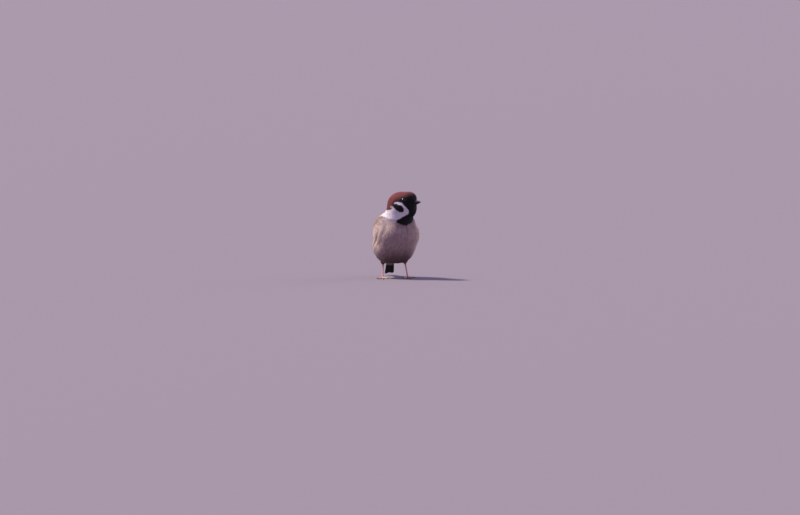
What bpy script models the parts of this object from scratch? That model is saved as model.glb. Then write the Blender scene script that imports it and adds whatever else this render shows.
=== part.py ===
"""Eurasian tree sparrow, standing upright with its head turned to its left, life size.

Sizes are in millimetres and are turned into metres when a mesh is made.
The bird looks along -Y, its left side is +X, and it stands on the floor at z = 0.
The outer form of the plumage is one smooth union of named ellipsoids. It is read along rays
from a spine, so that head, neck, trunk and rump are cut from one closed body.
"""

import math

import bmesh
import bpy
import numpy as np
from mathutils import Vector

MM = 0.001
GAP = 0.3  # clearance between neighbouring solids
BLEND = 2.4  # how softly neighbouring plumage masses run together
LEFT, RIGHT = 1, -1
SIDES = ((LEFT, "left"), (RIGHT, "right"))

HEAD_CENTRE = (9.6, -13.6, 85.6)
HEAD_YAW = 43.0  # degrees to the bird's left
HEAD_PITCH = 10.0


# ---------------------------------------------------------------- frames and masses

def axes(yaw=0.0, pitch=0.0):
    """Rows are the forward, left and up directions of something turned to the left by yaw
    and nose up by pitch, in degrees."""
    yaw, pitch = math.radians(yaw), math.radians(pitch)
    forward = np.array([math.sin(yaw) * math.cos(pitch), -math.cos(yaw) * math.cos(pitch), math.sin(pitch)])
    left = np.array([math.cos(yaw), math.sin(yaw), 0.0])
    return np.array([forward, left, np.cross(forward, left)])


HEAD_AXES = axes(HEAD_YAW, HEAD_PITCH)


def on_head(forward, left, up):
    """A place given from the middle of the head, along the head's own directions."""
    return np.array(HEAD_CENTRE) + np.array([forward, left, up]) @ HEAD_AXES


def head_mass(forward, left, up, half_sizes):
    return on_head(forward, left, up), HEAD_AXES, np.array(half_sizes)


def trunk_mass(x, y, z, pitch, half_sizes):
    return np.array([x, y, z]), axes(0.0, pitch), np.array(half_sizes)


# Each mass is a centre, its axes, and half sizes along its forward, left and up directions.
PLUMAGE = [
    trunk_mass(2.2, 2.5, 44.2, 57.0, (26.5, 21.6, 20.0)),    # ribcage and back
    trunk_mass(3.2, -3.5, 50.0, 68.0, (18.5, 21.2, 18.0)),   # breast
    trunk_mass(0.6, 1.5, 33.4, 25.0, (16.5, 19.8, 13.8)),    # belly
    trunk_mass(-8.8, 2.0, 30.8, 25.0, (12.5, 11.8, 11.2)),   # right flank
    trunk_mass(9.0, 2.5, 31.0, 25.0, (12.5, 11.2, 11.0)),    # left flank
    trunk_mass(1.6, 19.5, 28.0, 37.0, (19.5, 10.2, 7.4)),    # rump and tail coverts
    trunk_mass(-12.4, -0.5, 60.0, 62.0, (12.2, 7.6, 10.6)),  # right shoulder
    trunk_mass(12.0, 1.5, 54.5, 62.0, (12.5, 8.5, 11.0)),    # left shoulder
    trunk_mass(3.5, -6.0, 67.0, 76.0, (14.0, 16.2, 13.4)),   # neck
    head_mass(-6.0, 0.0, 2.0, (15.0, 12.4, 12.0)),           # skull
    head_mass(0.2, 4.2, -4.8, (8.8, 7.4, 7.8)),              # left cheek
    head_mass(0.2, -4.2, -4.8, (8.8, 7.4, 7.8)),             # right cheek
    head_mass(7.4, 0.0, 4.9, (7.2, 7.6, 6.8)),               # forehead
    head_mass(4.0, 0.0, -8.0, (7.6, 6.2, 8.0)),              # chin and throat
    head_mass(-10.8, 0.0, -6.8, (11.2, 12.2, 11.2)),         # nape
]


def distance_to(masses, points):
    """About the distance of each point from the surface of the masses, below zero inside.
    Each ellipsoid gives k0 (k0 - 1) / k1, and exponentials blend them softly."""
    total = 0.0
    for centre, directions, half in masses:
        local = (points - centre) @ directions.T
        k0 = np.linalg.norm(local / half, axis=-1)
        k1 = np.linalg.norm(local / half**2, axis=-1) + 1e-9
        total = total + np.exp(-np.clip(k0 * (k0 - 1.0) / k1, -40.0, 60.0) / BLEND)
    return -BLEND * np.log(total)


def outward(masses, points, step=0.05):
    """The direction in which the distance grows fastest, from central differences."""
    grown = [
        distance_to(masses, points + step * axis) - distance_to(masses, points - step * axis)
        for axis in np.eye(3)
    ]
    slope = np.stack(grown, axis=-1)
    return slope / np.linalg.norm(slope, axis=-1, keepdims=True)


def projected(points, level):
    """Moves points along the outward direction until they lie at that level over the plumage."""
    for _ in range(8):
        height = distance_to(PLUMAGE, points)
        points = points + outward(PLUMAGE, points) * (level - height)[..., None]
    return points


def spline(knots, count):
    """Samples a Catmull-Rom curve through the knots, whatever each knot holds."""
    knots = np.asarray(knots, float)
    padded = np.vstack([2 * knots[0] - knots[1], knots, 2 * knots[-1] - knots[-2]])
    place = np.linspace(0.0, len(knots) - 1.0, count)
    index = np.minimum(place.astype(int), len(knots) - 2)
    t = (place - index)[:, None]
    a, b, c, d = (padded[index + k] for k in range(4))
    return 0.5 * (2 * b + (c - a) * t + (2 * a - 5 * b + 4 * c - d) * t**2 + (3 * b - a - 3 * c + d) * t**3)


def smooth_step(low, high, value):
    t = np.clip((value - low) / (high - low), 0.0, 1.0)
    return t * t * (3 - 2 * t)


# ---------------------------------------------------------------- the body's surface

# Spine stations from rump to head: centre, elevation of the spine, and the yaw of the midline.
SPINE = [
    ((1.6, 22.0, 26.8), 38.0, 0.0),
    ((1.6, 12.0, 33.5), 46.0, 0.0),
    ((2.2, 3.0, 43.5), 57.0, 0.0),
    ((3.2, -3.5, 55.0), 70.0, 8.0),
    ((5.4, -8.5, 68.5), 82.0, 24.0),
    (tuple(on_head(-1.5, 0.0, 0.0)), 96.0, HEAD_YAW),
]
SPINE_ROWS = 23
CAP_ROWS_TAIL = 6
CAP_ROWS_HEAD = 8
RING_POINTS = 32
RAY_REACH = 60.0
HALVINGS = 26


def spine_rays():
    """Start points and directions of the rays: a fan at the tail, rings, and a fan at the head."""
    stations = spline([(*centre, elevation, yaw) for centre, elevation, yaw in SPINE], SPINE_ROWS)
    tail_fan = -np.linspace(90.0, 0.0, CAP_ROWS_TAIL + 1)[:-1]
    head_fan = np.linspace(0.0, 90.0, CAP_ROWS_HEAD + 1)[1:]
    opening = np.radians(np.concatenate([tail_fan, np.zeros(SPINE_ROWS), head_fan]))[:, None, None]
    stations = np.vstack([
        np.repeat(stations[:1], CAP_ROWS_TAIL, axis=0),
        stations,
        np.repeat(stations[-1:], CAP_ROWS_HEAD, axis=0),
    ])
    elevation, yaw = np.radians(stations[:, 3:4]), np.radians(stations[:, 4])
    forward = np.stack([np.sin(yaw), -np.cos(yaw), np.zeros_like(yaw)], axis=1)
    left = np.stack([np.cos(yaw), np.sin(yaw), np.zeros_like(yaw)], axis=1)
    up = np.array([0.0, 0.0, 1.0])
    along = forward * np.cos(elevation) + up * np.sin(elevation)
    front = forward * np.sin(elevation) - up * np.cos(elevation)
    turn = np.linspace(0.0, 2 * np.pi, RING_POINTS, endpoint=False)[None, :, None]
    across = front[:, None] * np.cos(turn) + left[:, None] * np.sin(turn)
    rays = across * np.cos(opening) + along[:, None] * np.sin(opening)
    return stations[:, None, :3] + 0.0 * rays, rays


def body_rings(offset=0.0):
    """Rings of points where the rays leave the plumage grown by offset. Halving finds each."""
    starts, rays = spine_rays()
    near, far = np.zeros(rays.shape[:2]), np.full(rays.shape[:2], RAY_REACH)
    for _ in range(HALVINGS):
        middle = (near + far) / 2
        inside = distance_to(PLUMAGE, starts + rays * middle[..., None]) < offset
        near, far = np.where(inside, middle, near), np.where(inside, far, middle)
    return starts + rays * near[..., None]


# ---------------------------------------------------------------- meshes and tools

def material(name, colour, roughness):
    made = bpy.data.materials.new(name)
    made.use_nodes = True
    shader = made.node_tree.nodes["Principled BSDF"]
    shader.inputs["Base Color"].default_value = (*colour, 1.0)
    shader.inputs["Roughness"].default_value = roughness
    return made


def edit(made, change):
    """Runs a change on the object's mesh."""
    bm = bmesh.new()
    bm.from_mesh(made.data)
    change(bm)
    bm.to_mesh(made.data)
    bm.free()


def mesh_object(name, points, faces, finish, collection):
    mesh = bpy.data.meshes.new(name)
    mesh.from_pydata((np.asarray(points) * MM).tolist(), [], faces)
    made = bpy.data.objects.new(name, mesh)
    collection.objects.link(made)
    if finish:
        mesh.materials.append(finish)
    edit(made, lambda bm: bmesh.ops.recalc_face_normals(bm, faces=bm.faces))
    mesh.shade_smooth()
    return made


def closed_loft(name, rings, finish, collection, ends=None):
    """A closed solid through the rings. Its ends are fans to the ends given, or to the middles."""
    rings = np.asarray(rings)
    rows, columns = rings.shape[:2]
    if ends is None:
        ends = rings[0].mean(axis=0), rings[-1].mean(axis=0)
    faces = [
        (r * columns + c, r * columns + (c + 1) % columns,
         (r + 1) * columns + (c + 1) % columns, (r + 1) * columns + c)
        for r in range(rows - 1) for c in range(columns)
    ]
    first, start = rows * columns, (rows - 1) * columns
    faces += [(first, (c + 1) % columns, c) for c in range(columns)]
    faces += [(first + 1, start + c, start + (c + 1) % columns) for c in range(columns)]
    points = np.vstack([rings.reshape(-1, 3), ends[0], ends[1]])
    return mesh_object(name, points, faces, finish, collection)


def slab(name, outer, inner, finish, collection):
    """A closed plate between two grids of points that match row by row."""
    rows, columns = outer.shape[:2]
    count = rows * columns
    faces = []
    for r in range(rows - 1):
        for c in range(columns - 1):
            a = r * columns + c
            quad = (a, a + 1, a + columns + 1, a + columns)
            faces.append(quad)
            faces.append(tuple(count + v for v in reversed(quad)))
    rim = [c for c in range(columns)]
    rim += [r * columns + columns - 1 for r in range(1, rows)]
    rim += [(rows - 1) * columns + c for c in range(columns - 2, -1, -1)]
    rim += [r * columns for r in range(rows - 2, 0, -1)]
    faces += [(b, a, count + a, count + b) for a, b in zip(rim, rim[1:] + rim[:1])]
    return mesh_object(name, np.vstack([outer.reshape(-1, 3), inner.reshape(-1, 3)]), faces, finish, collection)


def cut_off(made, point, normal):
    """Removes what lies past the plane, on the side that the normal points to, and closes the cut."""
    def change(bm):
        cut = bmesh.ops.bisect_plane(
            bm, geom=bm.verts[:] + bm.edges[:] + bm.faces[:], dist=1e-7,
            plane_co=Vector(point) * MM, plane_no=Vector(normal), clear_outer=True)
        edges = [e for e in cut["geom_cut"] if isinstance(e, bmesh.types.BMEdge)]
        bmesh.ops.triangle_fill(bm, use_beauty=True, edges=edges)
        bmesh.ops.recalc_face_normals(bm, faces=bm.faces)
    edit(made, change)


def subtract(made, cutter):
    """Cuts the cutter out of the object with a Boolean modifier."""
    modifier = made.modifiers.new("less " + cutter.name, "BOOLEAN")
    modifier.operation = "DIFFERENCE"
    modifier.object = cutter
    modifier.solver = "EXACT"


def as_cutter(made):
    made.hide_render = True
    made.display_type = "WIRE"
    return made


def ball(name, centre, radius, finish, collection, rings=10, segments=16):
    mesh = bpy.data.meshes.new(name)
    made = bpy.data.objects.new(name, mesh)
    collection.objects.link(made)
    bm = bmesh.new()
    bmesh.ops.create_uvsphere(bm, u_segments=segments, v_segments=rings, radius=radius * MM)
    bm.to_mesh(mesh)
    bm.free()
    made.location = Vector(centre) * MM
    if finish:
        mesh.materials.append(finish)
    mesh.shade_smooth()
    return made


def sweep(name, path, radii, finish, collection, sides=10):
    """A tube of changing radius along a path, with flat ends."""
    path = np.asarray(path, float)
    along = np.gradient(path, axis=0)
    along /= np.linalg.norm(along, axis=1, keepdims=True)
    side = np.cross(along, [0.0, 1.0, 0.0] if abs(along[0, 2]) > 0.7 else [0.0, 0.0, 1.0])
    side /= np.linalg.norm(side, axis=1, keepdims=True)
    up = np.cross(side, along)
    turn = np.linspace(0.0, 2 * np.pi, sides, endpoint=False)[None, :, None]
    reach = np.asarray(radii, float)[:, None, None]
    rings = path[:, None] + reach * (side[:, None] * np.cos(turn) + up[:, None] * np.sin(turn))
    return closed_loft(name, rings, finish, collection)


# ---------------------------------------------------------------- head, neck, trunk, rump

HEAD_CUT = ((6.6, -9.0, 72.0), (0.14, -0.20, 0.96))
NECK_CUT = ((4.2, -5.0, 62.0), (0.06, -0.16, 0.98))
RUMP_CUT = ((1.6, 17.5, 29.0), (0.0, 0.88, -0.47))


def unit(vector):
    vector = np.array(vector, float)
    return vector / np.linalg.norm(vector)


def body_part(name, rings, finish, collection, keep_past=None, keep_before=None):
    """One length of the body between two cuts. Half of the gap goes on each side of a cut."""
    made = closed_loft(name, rings[1:-1], finish, collection, ends=(rings[0, 0], rings[-1, 0]))
    if keep_past:
        normal = unit(keep_past[1])
        cut_off(made, np.array(keep_past[0]) + normal * GAP / 2, -normal)
    if keep_before:
        normal = unit(keep_before[1])
        cut_off(made, np.array(keep_before[0]) - normal * GAP / 2, normal)
    return made


def build_body(finishes, parts, cutters):
    rings = body_rings()
    head = body_part("head", rings, finishes["cap"], parts, keep_past=HEAD_CUT)
    body_part("neck", rings, finishes["neck"], parts, keep_past=NECK_CUT, keep_before=HEAD_CUT)
    trunk = body_part("trunk", rings, finishes["breast"], parts, keep_before=NECK_CUT)
    normal = unit(RUMP_CUT[1])
    cut_off(trunk, np.array(RUMP_CUT[0]) - normal * GAP / 2, normal)
    body_part("rump", rings, finishes["back"], parts, keep_past=RUMP_CUT)
    grown = body_rings(GAP)
    outline = closed_loft("body_outline", grown[1:-1], None, cutters, ends=(grown[0, 0], grown[-1, 0]))
    return head, as_cutter(outline)


# ---------------------------------------------------------------- eyes and bill

EYE_RADIUS = 3.0
EYE_SUNK = 1.75  # the ball's centre lies this far inside the plumage's surface
EYE_PLACE = (5.2, 9.8, 3.6)  # forward, out to the side and up, from the middle of the head
BILL_BASE = 12.4
BILL_LENGTH = 9.8
BILL_AXIS_UP = -1.4
BILL_HALF_WIDTH = 3.4
CULMEN_RISE = 3.7
JAW_DROP = 3.2
BILL_ROWS = 9
BILL_SIDES = 11


def build_eyes(finishes, head, parts, cutters):
    for side, word in SIDES:
        forward, out, up = EYE_PLACE
        centre = projected(on_head(forward, side * out, up), -EYE_SUNK)
        ball("eye_" + word, centre, EYE_RADIUS, finishes["eye"], parts)
        socket = ball("eye_socket_" + word, centre, EYE_RADIUS + GAP, None, cutters)
        subtract(head, as_cutter(socket))


def mandible(name, rise, half_width, length, finish, parts):
    """Half a cone whose flat side is the gape. The rise is above the gape if it is over zero."""
    t = np.linspace(0.0, 1.0, BILL_ROWS)
    taper = (1.0 - t**1.9) * 0.95 + 0.05
    reach = BILL_BASE - 4.0 + t * (length + 4.0)
    droop = BILL_AXIS_UP + 1.2 * t * (1.0 - t) - 0.2 * t
    turn = np.linspace(0.0, np.pi, BILL_SIDES)
    rings = np.empty((BILL_ROWS, BILL_SIDES, 3))
    rings[..., 0] = reach[:, None]
    rings[..., 1] = half_width * taper[:, None] * np.cos(turn)
    rings[..., 2] = droop[:, None] + math.copysign(GAP / 2, rise) + rise * taper[:, None] * np.sin(turn) ** 0.8
    return closed_loft(name, np.array(HEAD_CENTRE) + rings @ HEAD_AXES, finish, parts)


def build_bill(finishes, parts, outline):
    upper = mandible("bill_upper", CULMEN_RISE, BILL_HALF_WIDTH, BILL_LENGTH, finishes["bill"], parts)
    lower = mandible("bill_lower", -JAW_DROP, BILL_HALF_WIDTH * 0.88, BILL_LENGTH - 0.7, finishes["bill"], parts)
    for jaw in (upper, lower):
        subtract(jaw, outline)


# ---------------------------------------------------------------- wings

WING_THICKNESS = 2.4
WING_EDGE = 0.6
WING_LIFT = 0.45  # room under the wing's coarse inner sheet, where the plumage curves in
BLADE = 0.55  # half thickness of the wing's free tip
TRUNK_MIDDLE_X = 1.9  # the trunk leans this far to the left, and the wings lie about it
# Edges of the folded wing from wrist to tip: out from the trunk's middle, y and z. Where the wing
# rests on the plumage, the projection moves these places onto it.
WING_LOWER = [(19.0, -8.5, 57.0), (21.5, -5.0, 47.0), (20.2, 6.0, 34.0), (13.0, 21.5, 23.8), (5.4, 40.8, 16.2)]
WING_UPPER = [(18.5, -6.0, 62.5), (12.5, 11.0, 62.0), (8.0, 22.0, 48.8), (5.0, 28.3, 34.5), (1.6, 41.5, 18.4)]
WING_ROWS, WING_COLUMNS = 26, 9
TIP_FREE = (0.66, 0.92)  # over these shares of its length the wing leaves the plumage


def wing_sheets(side, s, t):
    """The outer and inner sheet of a folded wing at the shares s of its length and t of its width."""
    dense = 201
    lower, upper = spline(WING_LOWER, dense), spline(WING_UPPER, dense)
    places = np.linspace(0.0, 1.0, dense)
    lower = np.stack([np.interp(s, places, lower[:, k]) for k in range(3)], axis=-1)
    upper = np.stack([np.interp(s, places, upper[:, k]) for k in range(3)], axis=-1)
    prow = np.clip(1 - s / 0.2, 0.0, 1.0) ** 2
    bulge = np.stack([5.0 * (1 - s) + 1.0 - 2.0 * prow, -9.0 * prow, 0.8 + 0.0 * s], axis=-1)
    w = t[..., None]
    sheet = (1 - w) ** 2 * lower + 2 * w * (1 - w) * ((lower + upper) / 2 + bulge) + w**2 * upper
    sheet = sheet * [side, 1.0, 1.0] + [TRUNK_MIDDLE_X, 0.0, 0.0]
    round_edge = np.sqrt(np.clip(1.0 - (2 * t - 1) ** 4, 0.0, 1.0))
    round_front = 0.08 + 0.92 * smooth_step(-0.02, 0.3, s)
    thickness = WING_EDGE + (WING_THICKNESS - WING_EDGE) * round_edge * round_front * (1 - 0.35 * s)
    free = smooth_step(*TIP_FREE, s)[..., None]
    clear = np.maximum(distance_to(PLUMAGE, sheet), GAP + BLADE + 0.35)
    lifted = projected(sheet, clear)
    away = outward(PLUMAGE, lifted)
    outer = projected(sheet, WING_LIFT + thickness) * (1 - free) + (lifted + away * BLADE) * free
    inner = projected(sheet, WING_LIFT + 0.0 * thickness) * (1 - free) + (lifted - away * BLADE) * free
    return outer, inner


COVERTS_END = 0.37
TERTIALS_END = 0.78
PRIMARIES_SHARE = 0.36  # of the wing's width where they leave the coverts


def wing_grid(s_from, s_to, low, high):
    """Shares of length and width for a patch whose edges low and high depend on the length."""
    rows = max(6, round(WING_ROWS * (s_to - s_from)))
    s = np.linspace(s_from, s_to, rows)[:, None] + np.zeros((1, WING_COLUMNS))
    u = np.linspace(0.0, 1.0, WING_COLUMNS)[None, :]
    return s, low(s) + u * (high(s) - low(s))


def primaries_top(s):
    """The upper edge of the primaries, which opens to the whole width where the tertials end."""
    return PRIMARIES_SHARE + (1 - PRIMARIES_SHARE) * smooth_step(0.5, TERTIALS_END + 0.07, s)


def build_wings(finishes, parts):
    slit = 0.006
    patches = (
        ("coverts", 0.0, COVERTS_END - slit, np.zeros_like, np.ones_like),
        ("secondaries", COVERTS_END, TERTIALS_END, lambda s: primaries_top(s) + 0.025, np.ones_like),
        ("primaries", COVERTS_END, 1.0, np.zeros_like, primaries_top),
    )
    for side, word in SIDES:
        for part_word, s_from, s_to, low, high in patches:
            outer, inner = wing_sheets(side, *wing_grid(s_from, s_to, low, high))
            slab(f"wing_{word}_{part_word}", outer, inner, finishes["wing"], parts)


# ---------------------------------------------------------------- tail

TAIL_ROOT = (0.4, 20.0, 28.4)
TAIL_TIP = (4.7, 50.5, 1.6)
TAIL_ROLL = 7.0  # degrees that its right edge hangs lower
TAIL_HALF_WIDTH = (5.6, 6.2)
TAIL_THICKNESS = (2.2, 1.1)
TAIL_ARCH = 1.3
TAIL_NOTCH = 2.2
TAIL_ROWS, TAIL_COLUMNS = 12, 13


def build_tail(finishes, parts, outline):
    """A closed fan of tail feathers, arched across and notched in the middle."""
    root, tip = np.array(TAIL_ROOT), np.array(TAIL_TIP)
    length = np.linalg.norm(tip - root)
    along = (tip - root) / length
    side = unit(np.cross(along, [0.0, 0.0, 1.0]))
    up = np.cross(side, along)
    roll = math.radians(TAIL_ROLL)
    side, up = side * math.cos(roll) + up * math.sin(roll), up * math.cos(roll) - side * math.sin(roll)
    s = np.linspace(0.0, 1.0, TAIL_ROWS)[:, None]
    t = np.linspace(-1.0, 1.0, TAIL_COLUMNS)[None, :]
    end = length - TAIL_NOTCH * (1 - np.abs(t)) - 2.0 * np.clip(np.abs(t) - 0.75, 0, 1) * 4 * 0.4
    half_width = TAIL_HALF_WIDTH[0] + (TAIL_HALF_WIDTH[1] - TAIL_HALF_WIDTH[0]) * s
    sag = 1.4 * s * (1 - s)
    middle = (root + along * (s * end)[..., None] + side * (half_width * t)[..., None]
              + up * (TAIL_ARCH * (1 - t**2) * (0.6 + 0.4 * s) - sag)[..., None])
    thick = (TAIL_THICKNESS[0] + (TAIL_THICKNESS[1] - TAIL_THICKNESS[0]) * s) * (1 - 0.4 * t**2)
    made = slab("tail", middle + up * (thick / 2)[..., None], middle - up * (thick / 2)[..., None],
                finishes["tail"], parts)
    subtract(made, outline)


# ---------------------------------------------------------------- legs, toes and claws

# For each side: where the tarsus meets the foot and where it meets the thigh.
ANKLES = {LEFT: (16.2, 3.2, 1.9), RIGHT: (-13.9, -1.6, 1.9)}
HOCKS = {LEFT: (14.2, 7.2, 16.3), RIGHT: (-12.4, 2.8, 16.3)}
THIGH_TOPS = {LEFT: (11.0, 1.0, 29.0), RIGHT: (-9.4, -1.0, 29.0)}
TARSUS_RADIUS = 0.95
FOOT_TURN = {LEFT: -4.0, RIGHT: -10.0}  # degrees that the middle toe points to the bird's left
# Each toe: angle from the middle toe towards the outside, toe length, claw length.
TOES = {"inner": (-33.0, 10.0, 3.8), "middle": (0.0, 13.6, 4.4), "outer": (31.0, 10.4, 3.8), "back": (178.0, 7.6, 5.2)}
TOE_RADIUS = 0.82
TOE_START = 3.1
PAD_HALF = (2.6, 2.6, 1.05)


def build_thigh(side, word, finishes, parts, outline):
    hock, top = np.array(HOCKS[side]), np.array(THIGH_TOPS[side])
    shank = unit(hock - np.array(ANKLES[side]))
    start = hock - shank * 0.8
    knots = [start, start + shank * 2.2, start + (top - start) * 0.4 + [0, 0.6, 0], top]
    path = spline(knots, 9)
    radii = np.interp(np.linspace(0, 1, 9), [0, 0.15, 0.35, 0.7, 1.0], [1.4, 2.0, 3.2, 4.4, 3.6])
    made = sweep("thigh_" + word, path, radii, finishes["belly"], parts, sides=12)
    cut_off(made, hock + shank * GAP, -shank)
    subtract(made, outline)


def build_tarsus(side, word, finishes, parts):
    ankle, hock = np.array(ANKLES[side]), np.array(HOCKS[side])
    shank = unit(hock - ankle)
    s = np.linspace(0.0, 1.0, 9)[:, None]
    path = ankle + shank * (GAP + 0.2) + (hock - ankle - shank * (GAP + 0.2)) * s
    radii = TARSUS_RADIUS * np.interp(s[:, 0], [0, 0.1, 0.3, 0.8, 0.92, 1.0], [1.25, 1.1, 0.9, 0.95, 1.35, 1.3])
    sweep("tarsus_" + word, path, radii, finishes["leg"], parts, sides=10)


def build_pad(side, word, finishes, parts):
    """The middle of the foot, where the toes meet: a flattened ball with a flat sole and top."""
    ankle = np.array(ANKLES[side])
    rings = []
    for level, share in ((0.0, 0.72), (0.35, 0.93), (0.8, 1.0), (1.3, 0.85), (1.8, 0.5)):
        turn = np.linspace(0.0, 2 * np.pi, 16, endpoint=False)
        ring = np.stack([PAD_HALF[0] * share * np.cos(turn), PAD_HALF[1] * share * np.sin(turn), 0 * turn + level], 1)
        rings.append(ring + [ankle[0], ankle[1], 0.0])
    closed_loft("foot_" + word, rings, finishes["leg"], parts)


def build_toe(side, word, toe, finishes, parts):
    angle, length, claw = TOES[toe]
    ankle = np.array(ANKLES[side])
    heading = math.radians(FOOT_TURN[side] + side * angle)
    forward = np.array([math.sin(heading), -math.cos(heading), 0.0])
    s = np.linspace(0.0, 1.0, 10)
    reach = TOE_START + (length - TOE_START) * s
    height = TOE_RADIUS * 0.9 + 0.35 * np.sin(np.pi * s) * (1 - s)
    path = ankle * [1, 1, 0] + forward * reach[:, None] + np.array([0, 0, 1.0]) * height[:, None]
    knuckles = 1.0 + 0.1 * np.cos(2 * np.pi * s * 3)
    radii = TOE_RADIUS * knuckles * (1.0 - 0.22 * s)
    name = f"toe_{word}_{toe}"
    made = sweep(name, path, radii, finishes["leg"], parts, sides=8)
    cut_off(made, (0.0, 0.0, 0.0), (0.0, 0.0, -1.0))
    build_claw(f"claw_{word}_{toe}", path[-1], forward, radii[-1], claw, finishes, parts)


def build_claw(name, root, forward, radius, length, finishes, parts):
    """A hook that leaves the toe level, rises a little and curves down to just over the floor."""
    s = np.linspace(0.0, 1.0, 7)
    reach = GAP + length * np.sin(s * 1.25) / np.sin(1.25)
    height = root[2] + 0.55 * np.sin(np.pi * s) - (root[2] - 0.32) * s**2
    path = np.array([root[0], root[1], 0.0]) + forward * reach[:, None] + np.array([0, 0, 1.0]) * height[:, None]
    sweep(name, path, radius * 0.86 * (1 - s) ** 0.8 + 0.16, finishes["claw"], parts, sides=6)


def build_legs(finishes, parts, outline):
    for side, word in SIDES:
        build_thigh(side, word, finishes, parts, outline)
        build_tarsus(side, word, finishes, parts)
        build_pad(side, word, finishes, parts)
        for toe in TOES:
            build_toe(side, word, toe, finishes, parts)


# ---------------------------------------------------------------- the whole bird

def centre_on_base(*collections):
    """Moves everything so that the origin is the middle of the bird's outline on the floor."""
    bpy.context.view_layer.update()
    corners = np.array([
        made.matrix_world @ Vector(corner) for made in collections[0].objects for corner in made.bound_box])
    low, high = corners.min(axis=0), corners.max(axis=0)
    shift = Vector((-(low[0] + high[0]) / 2, -(low[1] + high[1]) / 2, 0.0))
    for collection in collections:
        for made in collection.objects:
            made.location += shift


def main():
    for old in list(bpy.data.objects):
        bpy.data.objects.remove(old)
    parts = bpy.data.collections.new("tree_sparrow")
    cutters = bpy.data.collections.new("cutters")
    for collection in (parts, cutters):
        bpy.context.scene.collection.children.link(collection)
    finishes = {
        "cap": material("cap", (0.21, 0.07, 0.05), 0.8),
        "neck": material("neck", (0.55, 0.47, 0.42), 0.85),
        "breast": material("breast", (0.27, 0.2, 0.19), 0.85),
        "belly": material("belly", (0.4, 0.33, 0.28), 0.85),
        "back": material("back", (0.22, 0.13, 0.08), 0.85),
        "wing": material("wing", (0.15, 0.09, 0.06), 0.75),
        "tail": material("tail", (0.06, 0.045, 0.04), 0.7),
        "bill": material("bill", (0.02, 0.018, 0.02), 0.35),
        "eye": material("eye", (0.01, 0.006, 0.005), 0.05),
        "leg": material("leg", (0.36, 0.2, 0.16), 0.55),
        "claw": material("claw", (0.05, 0.035, 0.03), 0.4),
    }
    head, outline = build_body(finishes, parts, cutters)
    build_eyes(finishes, head, parts, cutters)
    build_bill(finishes, parts, outline)
    build_wings(finishes, parts)
    build_tail(finishes, parts, outline)
    build_legs(finishes, parts, outline)
    centre_on_base(parts, cutters)


main()
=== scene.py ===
# %% [markdown]
# # A Eurasian tree sparrow, life size, feather by feather
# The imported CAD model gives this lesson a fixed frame: the outline of a small bird that stands
# upright and turns its head to its left. Every piece below is built onto that outline: one skin,
# some nineteen thousand small tufts of plumage, the long feathers of wings and tail, the bill, the
# eyes and the scaly legs. Lengths are in millimetres until a mesh is made.

# %% Load the frame and keep its box
import math

import bpy
import numpy as np
from mathutils import Matrix, Vector


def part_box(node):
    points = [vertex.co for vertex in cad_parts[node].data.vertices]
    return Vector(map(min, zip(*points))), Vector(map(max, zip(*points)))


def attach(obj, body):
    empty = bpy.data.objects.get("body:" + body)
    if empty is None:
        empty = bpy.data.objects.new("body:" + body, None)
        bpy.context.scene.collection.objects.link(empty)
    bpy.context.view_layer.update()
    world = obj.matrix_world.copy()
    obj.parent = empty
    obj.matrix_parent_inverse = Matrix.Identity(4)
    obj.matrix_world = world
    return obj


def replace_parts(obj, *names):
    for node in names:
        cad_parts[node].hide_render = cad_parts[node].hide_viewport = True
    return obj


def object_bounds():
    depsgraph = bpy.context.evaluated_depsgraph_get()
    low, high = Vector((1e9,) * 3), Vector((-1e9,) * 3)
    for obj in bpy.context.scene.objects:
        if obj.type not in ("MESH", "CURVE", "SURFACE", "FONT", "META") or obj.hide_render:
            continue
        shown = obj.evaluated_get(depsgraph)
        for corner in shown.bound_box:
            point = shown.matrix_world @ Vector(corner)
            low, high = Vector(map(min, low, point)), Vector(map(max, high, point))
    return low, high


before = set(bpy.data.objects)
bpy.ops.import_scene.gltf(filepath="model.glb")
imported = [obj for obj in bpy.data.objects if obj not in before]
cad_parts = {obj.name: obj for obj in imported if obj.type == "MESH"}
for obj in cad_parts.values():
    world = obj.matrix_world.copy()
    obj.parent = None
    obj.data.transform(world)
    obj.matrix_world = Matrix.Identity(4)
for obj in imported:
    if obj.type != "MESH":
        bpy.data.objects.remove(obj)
cad_box = [list(corner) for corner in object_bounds()]
MM = 0.001
LEFT, RIGHT = 1, -1
SIDES = ((LEFT, "left"), (RIGHT, "right"))


def middle_of(node):
    """The middle of a CAD node's box, in millimetres."""
    low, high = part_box(node)
    return (np.array(low) + np.array(high)) / 2 / MM


FEET = (middle_of("foot_left") + middle_of("foot_right")) / 2
PLAN_ORIGIN = np.array([FEET[0] - 1.15, FEET[1] - 0.8, 0.0])


def in_frame(points):
    """Plan millimetres to the frame's metres: the plan's origin lies just beside the feet."""
    return (np.asarray(points) + PLAN_ORIGIN) * MM


print("feet in the frame, mm:", FEET.round(2), " CAD nodes:", len(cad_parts))


# %% [markdown]
# ## The form of the plumage as a field
# A bird's outline is soft, because feathers bridge every hollow. Clay-like masses that melt
# together describe it well. Each mass is an ellipsoid, and a field tells how far a point lies
# from the melted whole. The same field that shaped the CAD solids then tells every feather how
# high over the skin it lies, so nothing has to be fitted by eye.

# %% Axes, masses and the field
HEAD_CENTRE = np.array([9.6, -13.6, 85.6])
HEAD_YAW, HEAD_PITCH = 43.0, 10.0
BLEND = 2.4


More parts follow.
